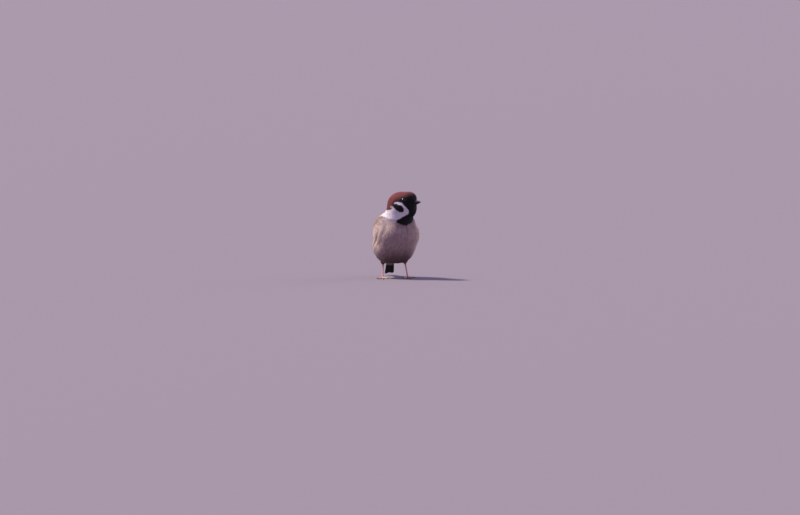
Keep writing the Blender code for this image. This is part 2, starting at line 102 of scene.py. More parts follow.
def axes(yaw=0.0, pitch=0.0):
    """Rows are forward, left and up after a turn to the left by yaw and a nod up by pitch."""
    yaw, pitch = math.radians(yaw), math.radians(pitch)
    level = math.cos(pitch)
    forward = np.array([math.sin(yaw) * level, -math.cos(yaw) * level, math.sin(pitch)])
    left = np.array([math.cos(yaw), math.sin(yaw), 0.0])
    return np.array([forward, left, np.cross(forward, left)])


HEAD_AXES = axes(HEAD_YAW, HEAD_PITCH)


def on_head(forward, left, up):
    """A place measured from the middle of the head along the head's own directions."""
    return HEAD_CENTRE + np.array([forward, left, up]) @ HEAD_AXES


def head_mass(forward, left, up, half_sizes):
    """An ellipsoid placed and turned with the head: its centre, its directions, its half sizes."""
    return on_head(forward, left, up), HEAD_AXES, np.array(half_sizes)


def trunk_mass(x, y, z, pitch, half_sizes):
    """An ellipsoid in the plan, whose first direction rises by the pitch."""
    return np.array([x, y, z]), axes(0.0, pitch), np.array(half_sizes)


PLUMAGE = [
    trunk_mass(2.2, 2.5, 44.2, 57.0, (26.5, 21.6, 20.0)),    # ribcage and back
    trunk_mass(3.2, -3.5, 50.0, 68.0, (18.5, 21.2, 18.0)),   # breast
    trunk_mass(0.6, 1.5, 33.4, 25.0, (16.5, 19.8, 13.8)),    # belly
    trunk_mass(-8.8, 2.0, 30.8, 25.0, (12.5, 11.8, 11.2)),   # right flank
    trunk_mass(9.0, 2.5, 31.0, 25.0, (12.5, 11.2, 11.0)),    # left flank
    trunk_mass(1.6, 19.5, 28.0, 37.0, (19.5, 10.2, 7.4)),    # rump and tail coverts
    trunk_mass(-12.4, -0.5, 60.0, 62.0, (12.2, 7.6, 10.6)),  # right shoulder
    trunk_mass(12.0, 1.5, 54.5, 62.0, (12.5, 8.5, 11.0)),    # left shoulder
    trunk_mass(3.5, -6.0, 67.0, 76.0, (14.0, 16.2, 13.4)),   # neck
    head_mass(-6.0, 0.0, 2.0, (15.0, 12.4, 12.0)),           # skull
    head_mass(0.2, 4.2, -4.8, (8.8, 7.4, 7.8)),              # left cheek
    head_mass(0.2, -4.2, -4.8, (8.8, 7.4, 7.8)),             # right cheek
    head_mass(7.4, 0.0, 4.9, (7.2, 7.6, 6.8)),               # forehead
    head_mass(4.0, 0.0, -8.0, (7.6, 6.2, 8.0)),              # chin and throat
    head_mass(-10.8, 0.0, -6.8, (11.2, 12.2, 11.2)),         # nape
]


def field(points):
    """Level over the plumage's outline, below zero inside, and the outward direction. For each
    ellipsoid the level is k0 (k0 - 1) / k1, with k0 the length of the local place over the half
    sizes and k1 the same over their squares. Exponentials of minus level / BLEND melt them."""
    total, away = 0.0, 0.0
    for centre, directions, half in PLUMAGE:
        local = (points - centre) @ directions.T
        k0 = np.linalg.norm(local / half, axis=-1)
        steep = local / half**2
        k1 = np.linalg.norm(steep, axis=-1) + 1e-9
        weight = np.exp(-np.clip(k0 * (k0 - 1.0) / k1, -40.0, 60.0) / BLEND)
        total = total + weight
        away = away + (weight / k1)[..., None] * (steep @ directions)
    away /= np.linalg.norm(away, axis=-1, keepdims=True) + 1e-12
    return -BLEND * np.log(total + 1e-30), away


def at_level(points, level, rounds=4):
    """Moves points outward or inward until they lie at that level over the outline."""
    for _ in range(rounds):
        height, away = field(points)
        points = points + away * (level - height)[..., None]
    return points


def smooth_step(low, high, value):
    """0 below low, 1 above high, and 3 t^2 - 2 t^3 between them. High may be the lower one."""
    t = np.clip((value - low) / (high - low), 0.0, 1.0)
    return t * t * (3 - 2 * t)


def unit(vectors):
    """Vectors over their lengths."""
    vectors = np.asarray(vectors, float)
    return vectors / (np.linalg.norm(vectors, axis=-1, keepdims=True) + 1e-12)


def spline(knots, count):
    """Samples a Catmull-Rom curve through the knots, whatever each knot holds."""
    knots = np.asarray(knots, float)
    padded = np.vstack([2 * knots[0] - knots[1], knots, 2 * knots[-1] - knots[-2]])
    place = np.linspace(0.0, len(knots) - 1.0, count)
    index = np.minimum(place.astype(int), len(knots) - 2)
    t = (place - index)[:, None]
    a, b, c, d = (padded[index + k] for k in range(4))
    return 0.5 * (2 * b + (c - a) * t + (2 * a - 5 * b + 4 * c - d) * t**2 + (3 * b - a - 3 * c + d) * t**3)


print("masses:", len(PLUMAGE), " level at the middle of the breast:",
      field(np.array([[3.2, -22.0, 50.0]]))[0].round(2))


# %% [markdown]
# ## A grid round a bent spine
# Skin and feathers both need a way to name places on the body. Rays that leave a bent spine do
# that: turn goes round the body from the belly side, and row goes from the tail to the crown,
# where the rays fan out to a pole. Halving the ray finds where the field has the wanted level.

# %% Rays, rings and the surface grid
SPINE = [
    ((1.6, 22.0, 26.8), 38.0, 0.0),
    ((1.6, 12.0, 33.5), 46.0, 0.0),
    ((2.2, 3.0, 43.5), 57.0, 0.0),
    ((3.2, -3.5, 55.0), 70.0, 8.0),
    ((5.4, -8.5, 68.5), 82.0, 24.0),
    (tuple(on_head(-1.5, 0.0, 0.0)), 96.0, HEAD_YAW),
]
SPINE_ROWS, TAIL_ROWS, CROWN_ROWS, RING_POINTS = 96, 18, 34, 160


def spine_rays():
    """Starts and directions of the rays: a fan at the tail, rings, and a fan at the crown."""
    stations = spline([(*centre, rise, yaw) for centre, rise, yaw in SPINE], SPINE_ROWS)
    fans = -np.linspace(90.0, 0.0, TAIL_ROWS + 1)[:-1], np.linspace(0.0, 90.0, CROWN_ROWS + 1)[1:]
    opening = np.radians(np.concatenate([fans[0], np.zeros(SPINE_ROWS), fans[1]]))[:, None, None]
    stations = np.vstack([
        np.repeat(stations[:1], TAIL_ROWS, axis=0), stations, np.repeat(stations[-1:], CROWN_ROWS, axis=0)])
    rise, yaw = np.radians(stations[:, 3:4]), np.radians(stations[:, 4])
    forward = np.stack([np.sin(yaw), -np.cos(yaw), np.zeros_like(yaw)], axis=1)
    left = np.stack([np.cos(yaw), np.sin(yaw), np.zeros_like(yaw)], axis=1)
    up = np.array([0.0, 0.0, 1.0])
    along = forward * np.cos(rise) + up * np.sin(rise)
    front = forward * np.sin(rise) - up * np.cos(rise)
    turn = np.linspace(0.0, 2 * np.pi, RING_POINTS, endpoint=False)[None, :, None]
    across = front[:, None] * np.cos(turn) + left[:, None] * np.sin(turn)
    rays = across * np.cos(opening) + along[:, None] * np.sin(opening)
    return stations[:, None, :3] + 0.0 * rays, rays


def body_rings(level_of):
    """Rings of points where the rays pass the level that level_of gives at that place."""
    starts, rays = spine_rays()
    near, far = np.zeros(rays.shape[:2]), np.full(rays.shape[:2], 60.0)
    for _ in range(24):
        middle = (near + far) / 2
        places = starts + rays * middle[..., None]
        inside = field(places)[0] < level_of(places)
        near, far = np.where(inside, middle, near), np.where(inside, far, middle)
    return starts + rays * near[..., None]


OUTLINE = body_rings(lambda places: 0.0)
BODY_ROWS = len(OUTLINE)
row_steps = np.linalg.norm(np.diff(OUTLINE, axis=0), axis=-1).mean(axis=1)
ROW_SHARE = np.concatenate([[0.0], np.cumsum(row_steps)]) / row_steps.sum()
print("surface grid:", OUTLINE.shape, " length from tail to crown, mm:", row_steps.sum().round(1))


# %% [markdown]
# ## Even places for roots
# Feathers grow in even rows, neither in a strict grid nor in clumps. A low-discrepancy sequence
# gives such an order: the n-th place is n times two irrational steps. The running sum of the
# area, weighted by the wanted density, turns those shares into rows and turns on the body.

# %% Where feathers root
STEP_U, STEP_V = 0.7548776662466927, 0.5698402909980532


def cell_areas(grid):
    """The area of each cell of a grid that closes on itself across, by the cross product."""
    over = np.roll(grid, -1, axis=1)
    return np.linalg.norm(np.cross(over[1:] - grid[:-1], grid[1:] - over[:-1]), axis=-1) / 2


def even_places(count, density):
    """Shares (turn 0..1, row 0..rows) spread evenly over the cells by area times density."""
    weight = cell_areas(OUTLINE) * density
    rows = np.concatenate([[0.0], np.cumsum(weight.sum(axis=1))])
    number = np.arange(count) + 0.5
    row = np.interp((number * STEP_V) % 1.0 * rows[-1], rows, np.arange(len(rows)))
    cell = np.minimum(row.astype(int), len(weight) - 1)
    running = np.cumsum(weight, axis=1)
    running /= running[:, -1:] + 1e-12
    stacked = (running + np.arange(len(weight))[:, None]).ravel()
    share = (number * STEP_U) % 1.0
    column = np.searchsorted(stacked, share * 0.999999 + cell) - cell * RING_POINTS
    column = np.clip(column, 0, RING_POINTS - 1)
    before = np.where(column > 0, running[cell, np.maximum(column - 1, 0)], 0.0)
    inside = (share - before) / (running[cell, column] - before + 1e-12)
    return (column + np.clip(inside, 0.0, 1.0)) / RING_POINTS, row


def on_outline(turn, row):
    """The outline's point at these shares, by weighing the four corners of the cell."""
    column = turn * RING_POINTS
    r, c = np.minimum(row.astype(int), BODY_ROWS - 2), np.floor(column).astype(int)
    y, x = (row - r)[:, None], (column - c)[:, None]
    a, b = OUTLINE[r, c % RING_POINTS], OUTLINE[r, (c + 1) % RING_POINTS]
    d, e = OUTLINE[r + 1, c % RING_POINTS], OUTLINE[r + 1, (c + 1) % RING_POINTS]
    return (a * (1 - x) + b * x) * (1 - y) + (d * (1 - x) + e * x) * y


next_round = np.roll(OUTLINE, -1, axis=1)
cell_middles = (OUTLINE[:-1] + OUTLINE[1:] + next_round[:-1] + next_round[1:]) / 4
CELL_TURN = (np.arange(RING_POINTS) + 0.5)[None, :] / RING_POINTS + np.zeros((BODY_ROWS - 1, 1))
print("area of the plumage, mm2:", cell_areas(OUTLINE).sum().round())


# %% [markdown]
# ## The markings
# A tree sparrow has a chestnut cap, a black mask and bib, and a white cheek with a black spot,
# which runs into a white half collar. The breast is grey-brown, the flanks warmer, the mantle
# brown with black streaks. One function of place gives these colours, and both the skin and the
# feathers ask it, so that they always agree. Borders wander a little, as they do on plumage. The
# function also paints light and shade: a brighter collar and pale sides as painted light, and a
# darker lower cap, belly, low flanks and vent as painted shade.

# %% Colours and the marking function


def paint(red, green, blue):
    """A colour as it is mixed on a palette, 0 to 255, made linear for the shader."""
    share = np.array([red, green, blue]) / 255.0
    return np.where(share <= 0.04045, share / 12.92, ((share + 0.055) / 1.055) ** 2.4)


# The second chestnut is a dark maroon: partly the cap's real darker edge, partly painted shade on its lower
# part.
CHESTNUT, SHADED_CHESTNUT = paint(124, 58, 59), paint(58, 28, 30)
# The collar's white is painted brighter than the cheek's white, as light on the neck's side.
BLACK, WHITE, LIT_COLLAR = paint(15, 11, 14), paint(242, 234, 236), paint(252, 244, 242)
# The belly colour is painted shade: a dark grey-brown where the real belly is pale dirty white.
# The breast sides' cream is partly the paler buff of the sides and partly painted rim light.
BREAST, LIT_BREAST_SIDE, SHADED_BELLY = paint(164, 141, 138), paint(228, 204, 184), paint(114, 88, 87)
# The flank colour is the flanks' warm buff-brown painted darker, as shade on the low sides.
# The vent colour is the undertail's buff painted darker, as the shade under the tail.
SHADED_FLANK, NECK_SIDE, SHADED_VENT = paint(162, 134, 127), paint(216, 198, 190), paint(134, 112, 106)
MANTLE, MANTLE_STREAK, MANTLE_PALE = paint(150, 104, 74), paint(34, 26, 24), paint(196, 164, 126)
RUMP, NAPE = paint(146, 118, 94), paint(164, 138, 120)


def wander(points, size, seed=0.0):
    """A smooth value, mostly within -1 to 1, that changes over about size millimetres: 1.6 times
    the mean of sines along five directions."""
    turns = np.arange(5) * 2.399 + seed
    directions = np.stack([np.cos(turns), np.sin(turns), np.cos(turns * 1.7 + 0.4)], axis=0)
    return np.sin(points @ directions * (2 * np.pi / size) + turns * 3.1).mean(axis=-1) * 1.6


def mixed(under, over, mask):
    """One colour over another by a mask of 0 to 1."""
    return under * (1 - mask[..., None]) + over * mask[..., None]


def curve(value, knots):
    """A straight-sided curve through (value, result) knots."""
    places, results = zip(*sorted(knots))
    return np.interp(value, places, results)


def head_places(points):
    """Forward, out to the side and up, from the middle of the head."""
    local = (points - HEAD_CENTRE) @ HEAD_AXES.T
    return local[..., 0], np.abs(local[..., 1]), local[..., 2]


CAP_EDGE = [(-26, -3.6), (-20, -4.2), (-14, -4.8), (-10.5, -4.4), (-8.6, -2.2), (-7.6, -0.6), (-3.9, 3.3),
            (0.1, 4.0), (5, 5.6), (8.5, 6.7), (13, 7.2)]
MASK_EDGE = [(-8, 3.4), (-3.3, 3.0), (0, 2.5), (3.4, 1.2), (5.5, -1.2), (7.2, -3.8), (9.2, -8.7)]
THROAT_EDGE = [(-16, 2.0), (-14.5, 3.8), (-11.5, 8.0), (-8.7, 9.2), (-3.8, 7.2), (0, 5.5)]
BIB_MIDDLE = [(-26, -4.4), (-18, -2.4), (-12, 0.0)]
BIB_HALF = [(-25.0, 0.0), (-23.6, 4.0), (-21.6, 8.0), (-19.4, 9.8), (-17.4, 9.9), (-15.6, 8.2), (-14.0, 6.8),
            (-11.5, 6.2), (-8.3, 7.2), (-2.7, 10.0), (0.0, 11.0)]
WHITE_LOW = [(-26, -9.6), (-21, -11.2), (-13, -14.8), (-7.2, -16.6), (-4.8, -17.4), (0.0, -18.6)]


def body_colour(points, turn):
    """Colours of neck, trunk and rump. Turn is the share round the body from the belly side."""
    backness = 0.5 - 0.5 * np.cos(2 * np.pi * turn) + 0.02 * wander(points, 5.0)
    z = points[..., 2]
    # Painted light: the sides take a cream far paler than the breast, as a painted rim.
    colour = mixed(np.broadcast_to(BREAST, points.shape), LIT_BREAST_SIDE, smooth_step(0.1, 0.4, backness))
    colour = mixed(colour, NECK_SIDE, smooth_step(58, 68, z) * smooth_step(0.08, 0.3, backness))
    # Painted shade: the low front takes the dark belly colour.
    colour = mixed(colour, SHADED_BELLY, smooth_step(40, 24, z) * smooth_step(0.22, 0.03, backness))
    # Painted shade: the low sides take the darkened flank colour.
    colour = mixed(colour, SHADED_FLANK, smooth_step(38, 27, z) * smooth_step(0.12, 0.4, backness))
    # Painted shade: the front and sides darken by up to 45 % towards the bottom, below 28 mm.
    colour = colour * (1 - 0.45 * smooth_step(28, 18, z) * smooth_step(0.6, 0.3, backness))[..., None]
    # Painted shade: the vent and undertail take the darkened buff.
    colour = mixed(colour, SHADED_VENT, smooth_step(14, 24, points[..., 1]) * smooth_step(0.6, 0.3, backness))
    drawn_out = points * [1.0, 1.0, 0.55] + 1.7 * wander(points, 6.3, 9.0)[..., None] * [1.0, -0.7, 0.5]
    mottle = 0.55 * wander(drawn_out, 4.4, 3.0) + 0.45 * wander(drawn_out, 2.6, 5.0)
    colour = colour * (1 + 0.24 * mottle * smooth_step(0.5, 0.1, backness))[..., None]
    colour = mixed(colour, NAPE, smooth_step(0.62, 0.78, backness) * smooth_step(60, 66, z))
    colour = mixed(colour, MANTLE, smooth_step(0.64, 0.78, backness) * smooth_step(66, 62, z))
    return mixed(colour, RUMP, smooth_step(0.52, 0.66, backness) * smooth_step(42, 37, z))


def head_colour(points, colour):
    """Lays the head's markings over a colour."""
    local = (points - HEAD_CENTRE) @ HEAD_AXES.T
    forward, left, up = local[..., 0], local[..., 1], local[..., 2]
    up = up + 0.4 * wander(points, 3.1) + 0.2 * wander(points, 1.3, 1.0)
    forward = forward + 0.3 * wander(points, 2.4, 2.0)
    over_cap = up - curve(forward, CAP_EDGE)
    white = smooth_step(-0.6, 0.6, up - curve(forward, WHITE_LOW))
    # Painted light: the half collar takes the brighter white, and the cheek in front the plain white.
    colour = mixed(colour, LIT_COLLAR, white)
    colour = mixed(colour, WHITE, white * smooth_step(-14, -8, forward))
    along = (forward + 1.5) * 0.80 - (up + 3.9) * 0.60
    across = (forward + 1.5) * 0.60 + (up + 3.9) * 0.80
    wide = 3.7 + 0.16 * along
    colour = mixed(colour, BLACK, smooth_step(1.15, 0.88, (along / 7.5) ** 2 + (across / wide) ** 2))
    mask = smooth_step(-0.35, 0.35, up - curve(forward, MASK_EDGE)) * smooth_step(-6.5, -3.0, forward)
    colour = mixed(colour, BLACK, mask)
    # Painted shade: the cap darkens towards the mask, partly darker chestnut and partly shade, so that its
    # top looks lit.
    lower_cap_shade = smooth_step(6.8, 0.3, over_cap) * smooth_step(-17, -5, forward)
    tone = mixed(np.broadcast_to(CHESTNUT, points.shape), SHADED_CHESTNUT, 0.95 * lower_cap_shade)
    cap = smooth_step(-0.35, 0.35, over_cap)
    colour = mixed(colour, tone, cap)
    pale_spot = ((forward + 10.7) / 1.4) ** 2 + ((up + 1.4) / 1.0) ** 2
    colour = mixed(colour, WHITE, smooth_step(1.2, 0.6, pale_spot) * 0.85)
    aside = np.abs(left - curve(up, BIB_MIDDLE))
    bib = smooth_step(-0.5, 0.5, curve(up, BIB_HALF) - aside)
    bib = bib * smooth_step(-9.5, -6.5, forward + 0.2 * (up + 26))
    throat = smooth_step(-0.4, 0.4, forward - curve(up, THROAT_EDGE)) * smooth_step(-17, -15, up)
    throat = throat * smooth_step(0.8, -0.4, over_cap)
    return mixed(colour, BLACK, np.maximum(bib, throat) * (1 - cap))


def markings(points, turn):
    """The colour of the plumage at a place on the body."""
    return head_colour(points, body_colour(points, turn))


print("cap, cheek and breast colours ready")


# %% [markdown]
# ## Putting arrays into meshes
# Each piece is worked out as whole arrays of points, faces and colours. One helper hands them
# to Blender with foreach_set, which takes an array at once. Its map named OFBake says where on
# the body each part of the piece belongs, for whoever bakes its colours into a picture.

# %% The mesh helper
PIECES = []


def make_piece(name, points, faces, finish, colours=None, bake=None, extra=None, normals=None):
    """A mesh object from points, and faces given as arrays whose rows are faces. Colours and
    normals are per point. Bake and extra are per corner, (corners, 2)."""
    mesh = bpy.data.meshes.new(name)
    points = in_frame(points).reshape(-1, 3)
    mesh.vertices.add(len(points))
    mesh.vertices.foreach_set("co", points.astype(np.float32).ravel())
    corners = np.concatenate([part.ravel() for part in faces]).astype(np.int32)
    sizes = np.concatenate([np.full(len(part), part.shape[1]) for part in faces])
    mesh.loops.add(len(corners))
    mesh.loops.foreach_set("vertex_index", corners)
    mesh.polygons.add(len(sizes))
    mesh.polygons.foreach_set("loop_start", np.concatenate([[0], np.cumsum(sizes)[:-1]]).astype(np.int32))
    mesh.update(calc_edges=True)
    mesh.polygons.foreach_set("use_smooth", np.ones(len(sizes), bool))
    if colours is not None:
        layer = mesh.color_attributes.new(name="tint", type="FLOAT_COLOR", domain="POINT")
        rgba = np.ones((len(points), 4), np.float32)
        rgba[:, :3] = np.asarray(colours).reshape(-1, 3)
        layer.data.foreach_set("color", rgba.ravel())
    for title, places in (("OFBake", bake), ("vane", extra)):
        if places is not None:
            layer = mesh.uv_layers.new(name=title)
            layer.uv.foreach_set("vector", np.asarray(places, np.float32).ravel())
    if normals is not None:
        layer = mesh.attributes.new("custom_normal", "FLOAT_VECTOR", "POINT")
        layer.data.foreach_set("vector", normals.astype(np.float32).ravel())
    made = bpy.data.objects.new(name, mesh)
    bpy.context.scene.collection.objects.link(made)
    mesh.materials.append(finish)
    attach(made, "root")
    PIECES.append(made)
    return made


def triangles_in(piece):
    """A face of n corners is drawn as n - 2 triangles."""
    return len(piece.data.loops) - 2 * len(piece.data.polygons)


def loft_faces(rows, columns):
    """Quads between rings that close on themselves, and fans to a point before the first ring
    and one after the last. The points are ordered rings, start, end."""
    r, c = np.meshgrid(np.arange(rows - 1), np.arange(columns), indexing="ij")
    over = (c + 1) % columns
    here, beyond = r * columns, (r + 1) * columns
    quads = np.stack([here + c, here + over, beyond + over, beyond + c], axis=-1)
    c = np.arange(columns)
    over = (c + 1) % columns
    start, end, last = rows * columns, rows * columns + 1, (rows - 1) * columns
    fans = np.concatenate([np.stack([np.full(columns, start), over, c], axis=1),
                           np.stack([np.full(columns, end), last + c, last + over], axis=1)])
    return quads.reshape(-1, 4), fans


def loft_map(rows, columns):
    """A place on the map for each corner of loft_faces, without a jump where the rings close."""
    r, c = np.meshgrid(np.arange(rows - 1), np.arange(columns), indexing="ij")
    v = np.stack([r, r, r + 1, r + 1], axis=-1) / (rows - 1.0)
    u = np.stack([c, c + 1, c + 1, c], axis=-1) / float(columns)
    quads = np.stack([u, v * 0.98 + 0.01], axis=-1).reshape(-1, 2)
    c = np.arange(columns)
    fan_u = np.concatenate([np.stack([c + 0.5, c + 1, c], 1), np.stack([c + 0.5, c, c + 1], 1)])
    fan_v = np.repeat([[0.0, 0.01, 0.01], [1.0, 0.99, 0.99]], columns, axis=0)
    return [quads.reshape(-1, 4, 2), np.stack([fan_u / float(columns), fan_v], axis=-1)]


def signed_volume(points, faces):
    """The sum of the pyramids from the origin to each face, over zero if faces point out."""
    a, b, c = (points[faces[:, k]] for k in (0, 1, 2))
    d = points[faces[:, 3]] if faces.shape[1] > 3 else c
    return ((np.cross(a, b) * c).sum() + (np.cross(a, c) * d).sum()) / 6


def loft(rings):
    """Points, faces and map of one closed skin over rings, with its faces outward. Its ends run
    to the middles."""
    rows, columns = rings.shape[:2]
    points = np.vstack([rings.reshape(-1, 3), rings[0].mean(axis=0), rings[-1].mean(axis=0)])
    faces, places = list(loft_faces(rows, columns)), loft_map(rows, columns)
    if sum(signed_volume(points - points[-1], part) for part in faces) < 0:
        faces, places = [part[:, ::-1] for part in faces], [part[:, ::-1] for part in places]
    return points, faces, np.concatenate([part.reshape(-1, 2) for part in places])


# %% [markdown]
# ## Finishes
# All colours of the plumage sit in a tint on the points. A shared node group adds what is finer
# than that: small changes of tone and height that follow a noise. Feathers scatter light softly,
# so they are rough with a weak sheen. Horn and scales are smoother, and the eye is wet.

# %% A shared group for fine variation


def sum_of(tree, operation, *values):
    """The output of one sum in a node tree. Each value is a number or another node's output."""
    made = tree.nodes.new("ShaderNodeMath")
    made.operation = operation
    for place, value in enumerate(values):
        if isinstance(value, float):
            made.inputs[place].default_value = value
        else:
            tree.links.new(value, made.inputs[place])
    return made.outputs[0]


def fine_grain_group():
    """Inputs Colour, Scale, Amount. Outputs the colour made lighter and darker by a noise, and
    the noise as a height."""
    group = bpy.data.node_groups.new("fine grain", "ShaderNodeTree")
    for title, way, kind in (
            ("Colour", "INPUT", "Color"), ("Scale", "INPUT", "Float"), ("Amount", "INPUT", "Float"),
            ("Colour", "OUTPUT", "Color"), ("Height", "OUTPUT", "Float")):
        group.interface.new_socket(title, in_out=way, socket_type="NodeSocket" + kind)
    nodes, links = group.nodes, group.links
    given, result = nodes.new("NodeGroupInput"), nodes.new("NodeGroupOutput")
    places = nodes.new("ShaderNodeTexCoord")
    noise = nodes.new("ShaderNodeTexNoise")
    noise.inputs["Detail"].default_value = 3.0
    links.new(places.outputs["Object"], noise.inputs["Vector"])
    links.new(given.outputs["Scale"], noise.inputs["Scale"])
    centred = sum_of(group, "SUBTRACT", noise.outputs["Fac"], 0.5)
    change = sum_of(group, "MULTIPLY_ADD", centred, given.outputs["Amount"], 1.0)
    scaled = nodes.new("ShaderNodeVectorMath")
    scaled.operation = "SCALE"
    links.new(given.outputs["Colour"], scaled.inputs[0])
    links.new(change, scaled.inputs["Scale"])
    links.new(scaled.outputs["Vector"], result.inputs["Colour"])
    links.new(noise.outputs["Fac"], result.inputs["Height"])
    return group


FINE_GRAIN = fine_grain_group()


def finish(name, roughness, scale, amount, bump=0.0, bump_distance=0.0001, **constants):
    """A material that reads the tint, varies it by the fine grain and may add a bump."""
    made = bpy.data.materials.new(name)
    made.use_nodes = True
    nodes, links = made.node_tree.nodes, made.node_tree.links
    shader = nodes["Principled BSDF"]
    shader.inputs["Roughness"].default_value = roughness
    for socket, value in constants.items():
        shader.inputs[socket.replace("_", " ")].default_value = value
    tint = nodes.new("ShaderNodeAttribute")
    tint.attribute_name = "tint"
    grain = nodes.new("ShaderNodeGroup")
    grain.node_tree = FINE_GRAIN
    grain.inputs["Scale"].default_value = scale
    grain.inputs["Amount"].default_value = amount
    links.new(tint.outputs["Color"], grain.inputs["Colour"])
    links.new(grain.outputs["Colour"], shader.inputs["Base Color"])
    if bump:
        relief = nodes.new("ShaderNodeBump")
        relief.inputs["Strength"].default_value = bump
        relief.inputs["Distance"].default_value = bump_distance
        links.new(grain.outputs["Height"], relief.inputs["Height"])
        links.new(relief.outputs["Normal"], shader.inputs["Normal"])
    return made


SOFT_PLUMAGE = finish("soft plumage", 0.8, 700.0, 0.5, Sheen_Weight=0.08, Sheen_Roughness=0.6,
                      Specular_IOR_Level=0.25)
SKIN_FINISH = finish("feather bases", 0.9, 900.0, 0.5, bump=0.4, Specular_IOR_Level=0.2)
HORN = finish("bill horn", 0.42, 1400.0, 0.5, bump=0.25, bump_distance=0.00008, Specular_IOR_Level=0.3)
SCALES = finish("leg scales", 0.5, 1800.0, 0.45, bump=0.35, bump_distance=0.00008, Specular_IOR_Level=0.4)
CLAW_HORN = finish("claw horn", 0.35, 1500.0, 0.4, bump=0.15, Specular_IOR_Level=0.5)
WET_EYE = finish("wet eye", 0.1, 900.0, 0.2, Coat_Weight=0.3, Coat_Roughness=0.03, Specular_IOR_Level=0.15)
LID_SKIN = finish("eyelid skin", 0.6, 2500.0, 0.5, bump=0.4, bump_distance=0.00005)
print("finishes:", len(bpy.data.materials))


# %% [markdown]
# ## One skin under the plumage
# The skin replaces the CAD's head, neck, trunk, rump and thighs in one mesh without a seam. It
# lies inside the outline by the depth of the coat: thin on the face and deep on the breast. The
# thighs are tubes along a curve that start inside the body.

# %% Skin and thighs
ANKLES = {LEFT: (16.2, 3.2, 1.9), RIGHT: (-13.9, -1.6, 1.9)}
HOCKS = {LEFT: (14.2, 7.2, 16.3), RIGHT: (-12.4, 2.8, 16.3)}
THIGH_TOPS = {LEFT: (11.0, 1.0, 29.0), RIGHT: (-9.4, -1.0, 29.0)}


def coat_depth(points):
    """How deep the skin lies: 0.6 mm on the head, growing to 1.7 mm on the trunk."""
    return 0.6 + 1.1 * smooth_step(74.0, 60.0, points[..., 2])


def tube_frames(path):
    """Along, side and up directions at each point of a path."""
    along = unit(np.gradient(path, axis=0))
    helper = np.array([0.0, 1.0, 0.0]) if abs(along[0, 2]) > 0.7 else np.array([0.0, 0.0, 1.0])
    side = unit(np.cross(along, helper))
    return along, side, np.cross(side, along)


def tube(path, radii, sides):
    """Rings of the given radii round a path, at right angles to it. Radii may also differ round
    the ring, as an array (rows, sides)."""
    _, side, up = tube_frames(path)
    turn = np.linspace(0.0, 2 * np.pi, sides, endpoint=False)[None, :, None]
    reach = np.asarray(radii, float).reshape(len(path), -1)[..., None]
    return path[:, None] + reach * (side[:, None] * np.cos(turn) + up[:, None] * np.sin(turn))


def thigh_line(side, count):
    """The thigh's line from just under the hock up into the body, and its radius on the way."""
    hock, top = np.array(HOCKS[side]), np.array(THIGH_TOPS[side])
    shank = unit(hock - np.array(ANKLES[side]))
    start = hock + shank * 0.2
    path = spline([start, start + shank * 2.2, start + (top - start) * 0.4 + [0, 0.6, 0], top], count)
    radii = np.interp(np.linspace(0, 1, count), [0, 0.12, 0.35, 0.7, 1.0], [1.3, 2.0, 3.2, 4.4, 3.6])
    return path, radii


skin_rings = body_rings(lambda places: -coat_depth(places))
points, faces, bake = loft(skin_rings[1:-1])
ring_turn = np.tile(np.arange(RING_POINTS) / RING_POINTS, BODY_ROWS - 2)
turns = np.concatenate([ring_turn, [0.0, 0.5]])
# Painted shade: the skin takes the plumage's markings at 0.62 of their brightness, as the shade deep in the
# coat.
tints = markings(points, turns) * 0.62
bake = bake * [1.0, 0.9]
for side, word in SIDES:
    path, radii = thigh_line(side, 20)
    rings = tube(path, np.maximum(radii - 0.9, 0.5), 24)
    more, more_faces, more_bake = loft(rings)
    faces += [part + len(points) for part in more_faces]
    points = np.vstack([points, more])
    # Painted shade: the thighs' skin takes half the flank colour.
    tints = np.vstack([tints, np.tile(SHADED_FLANK * 0.5, (len(more), 1))])
    bake = np.vstack([bake, [0.05 + 0.5 * (side < 0), 0.92] + more_bake * [0.4, 0.07]])
skin = make_piece("skin", points, faces, SKIN_FINISH, tints, bake)
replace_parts(skin, "head", "neck", "trunk", "rump", "thigh_left", "thigh_right")
print("skin faces:", len(skin.data.polygons))


# %% [markdown]
# ## How the plumage lies
# Feathers point away from the bill and towards the tail. On the head the lie is straight back
# and bends down over the nape, and on the trunk it follows the spine. Near the eye the feathers
# part and pass round it. The direction is a field too, which is laid flat on the surface where
# it is used.

# %% The lie of the feathers
EYE_RADIUS, EYE_SUNK = 3.0, 1.75
EYES = {side: at_level(on_head(5.2, side * 9.8, 3.6)[None], -EYE_SUNK, 8)[0] for side in (LEFT, RIGHT)}
EYE_AXES = {side: field(EYES[side][None])[1][0] for side in (LEFT, RIGHT)}


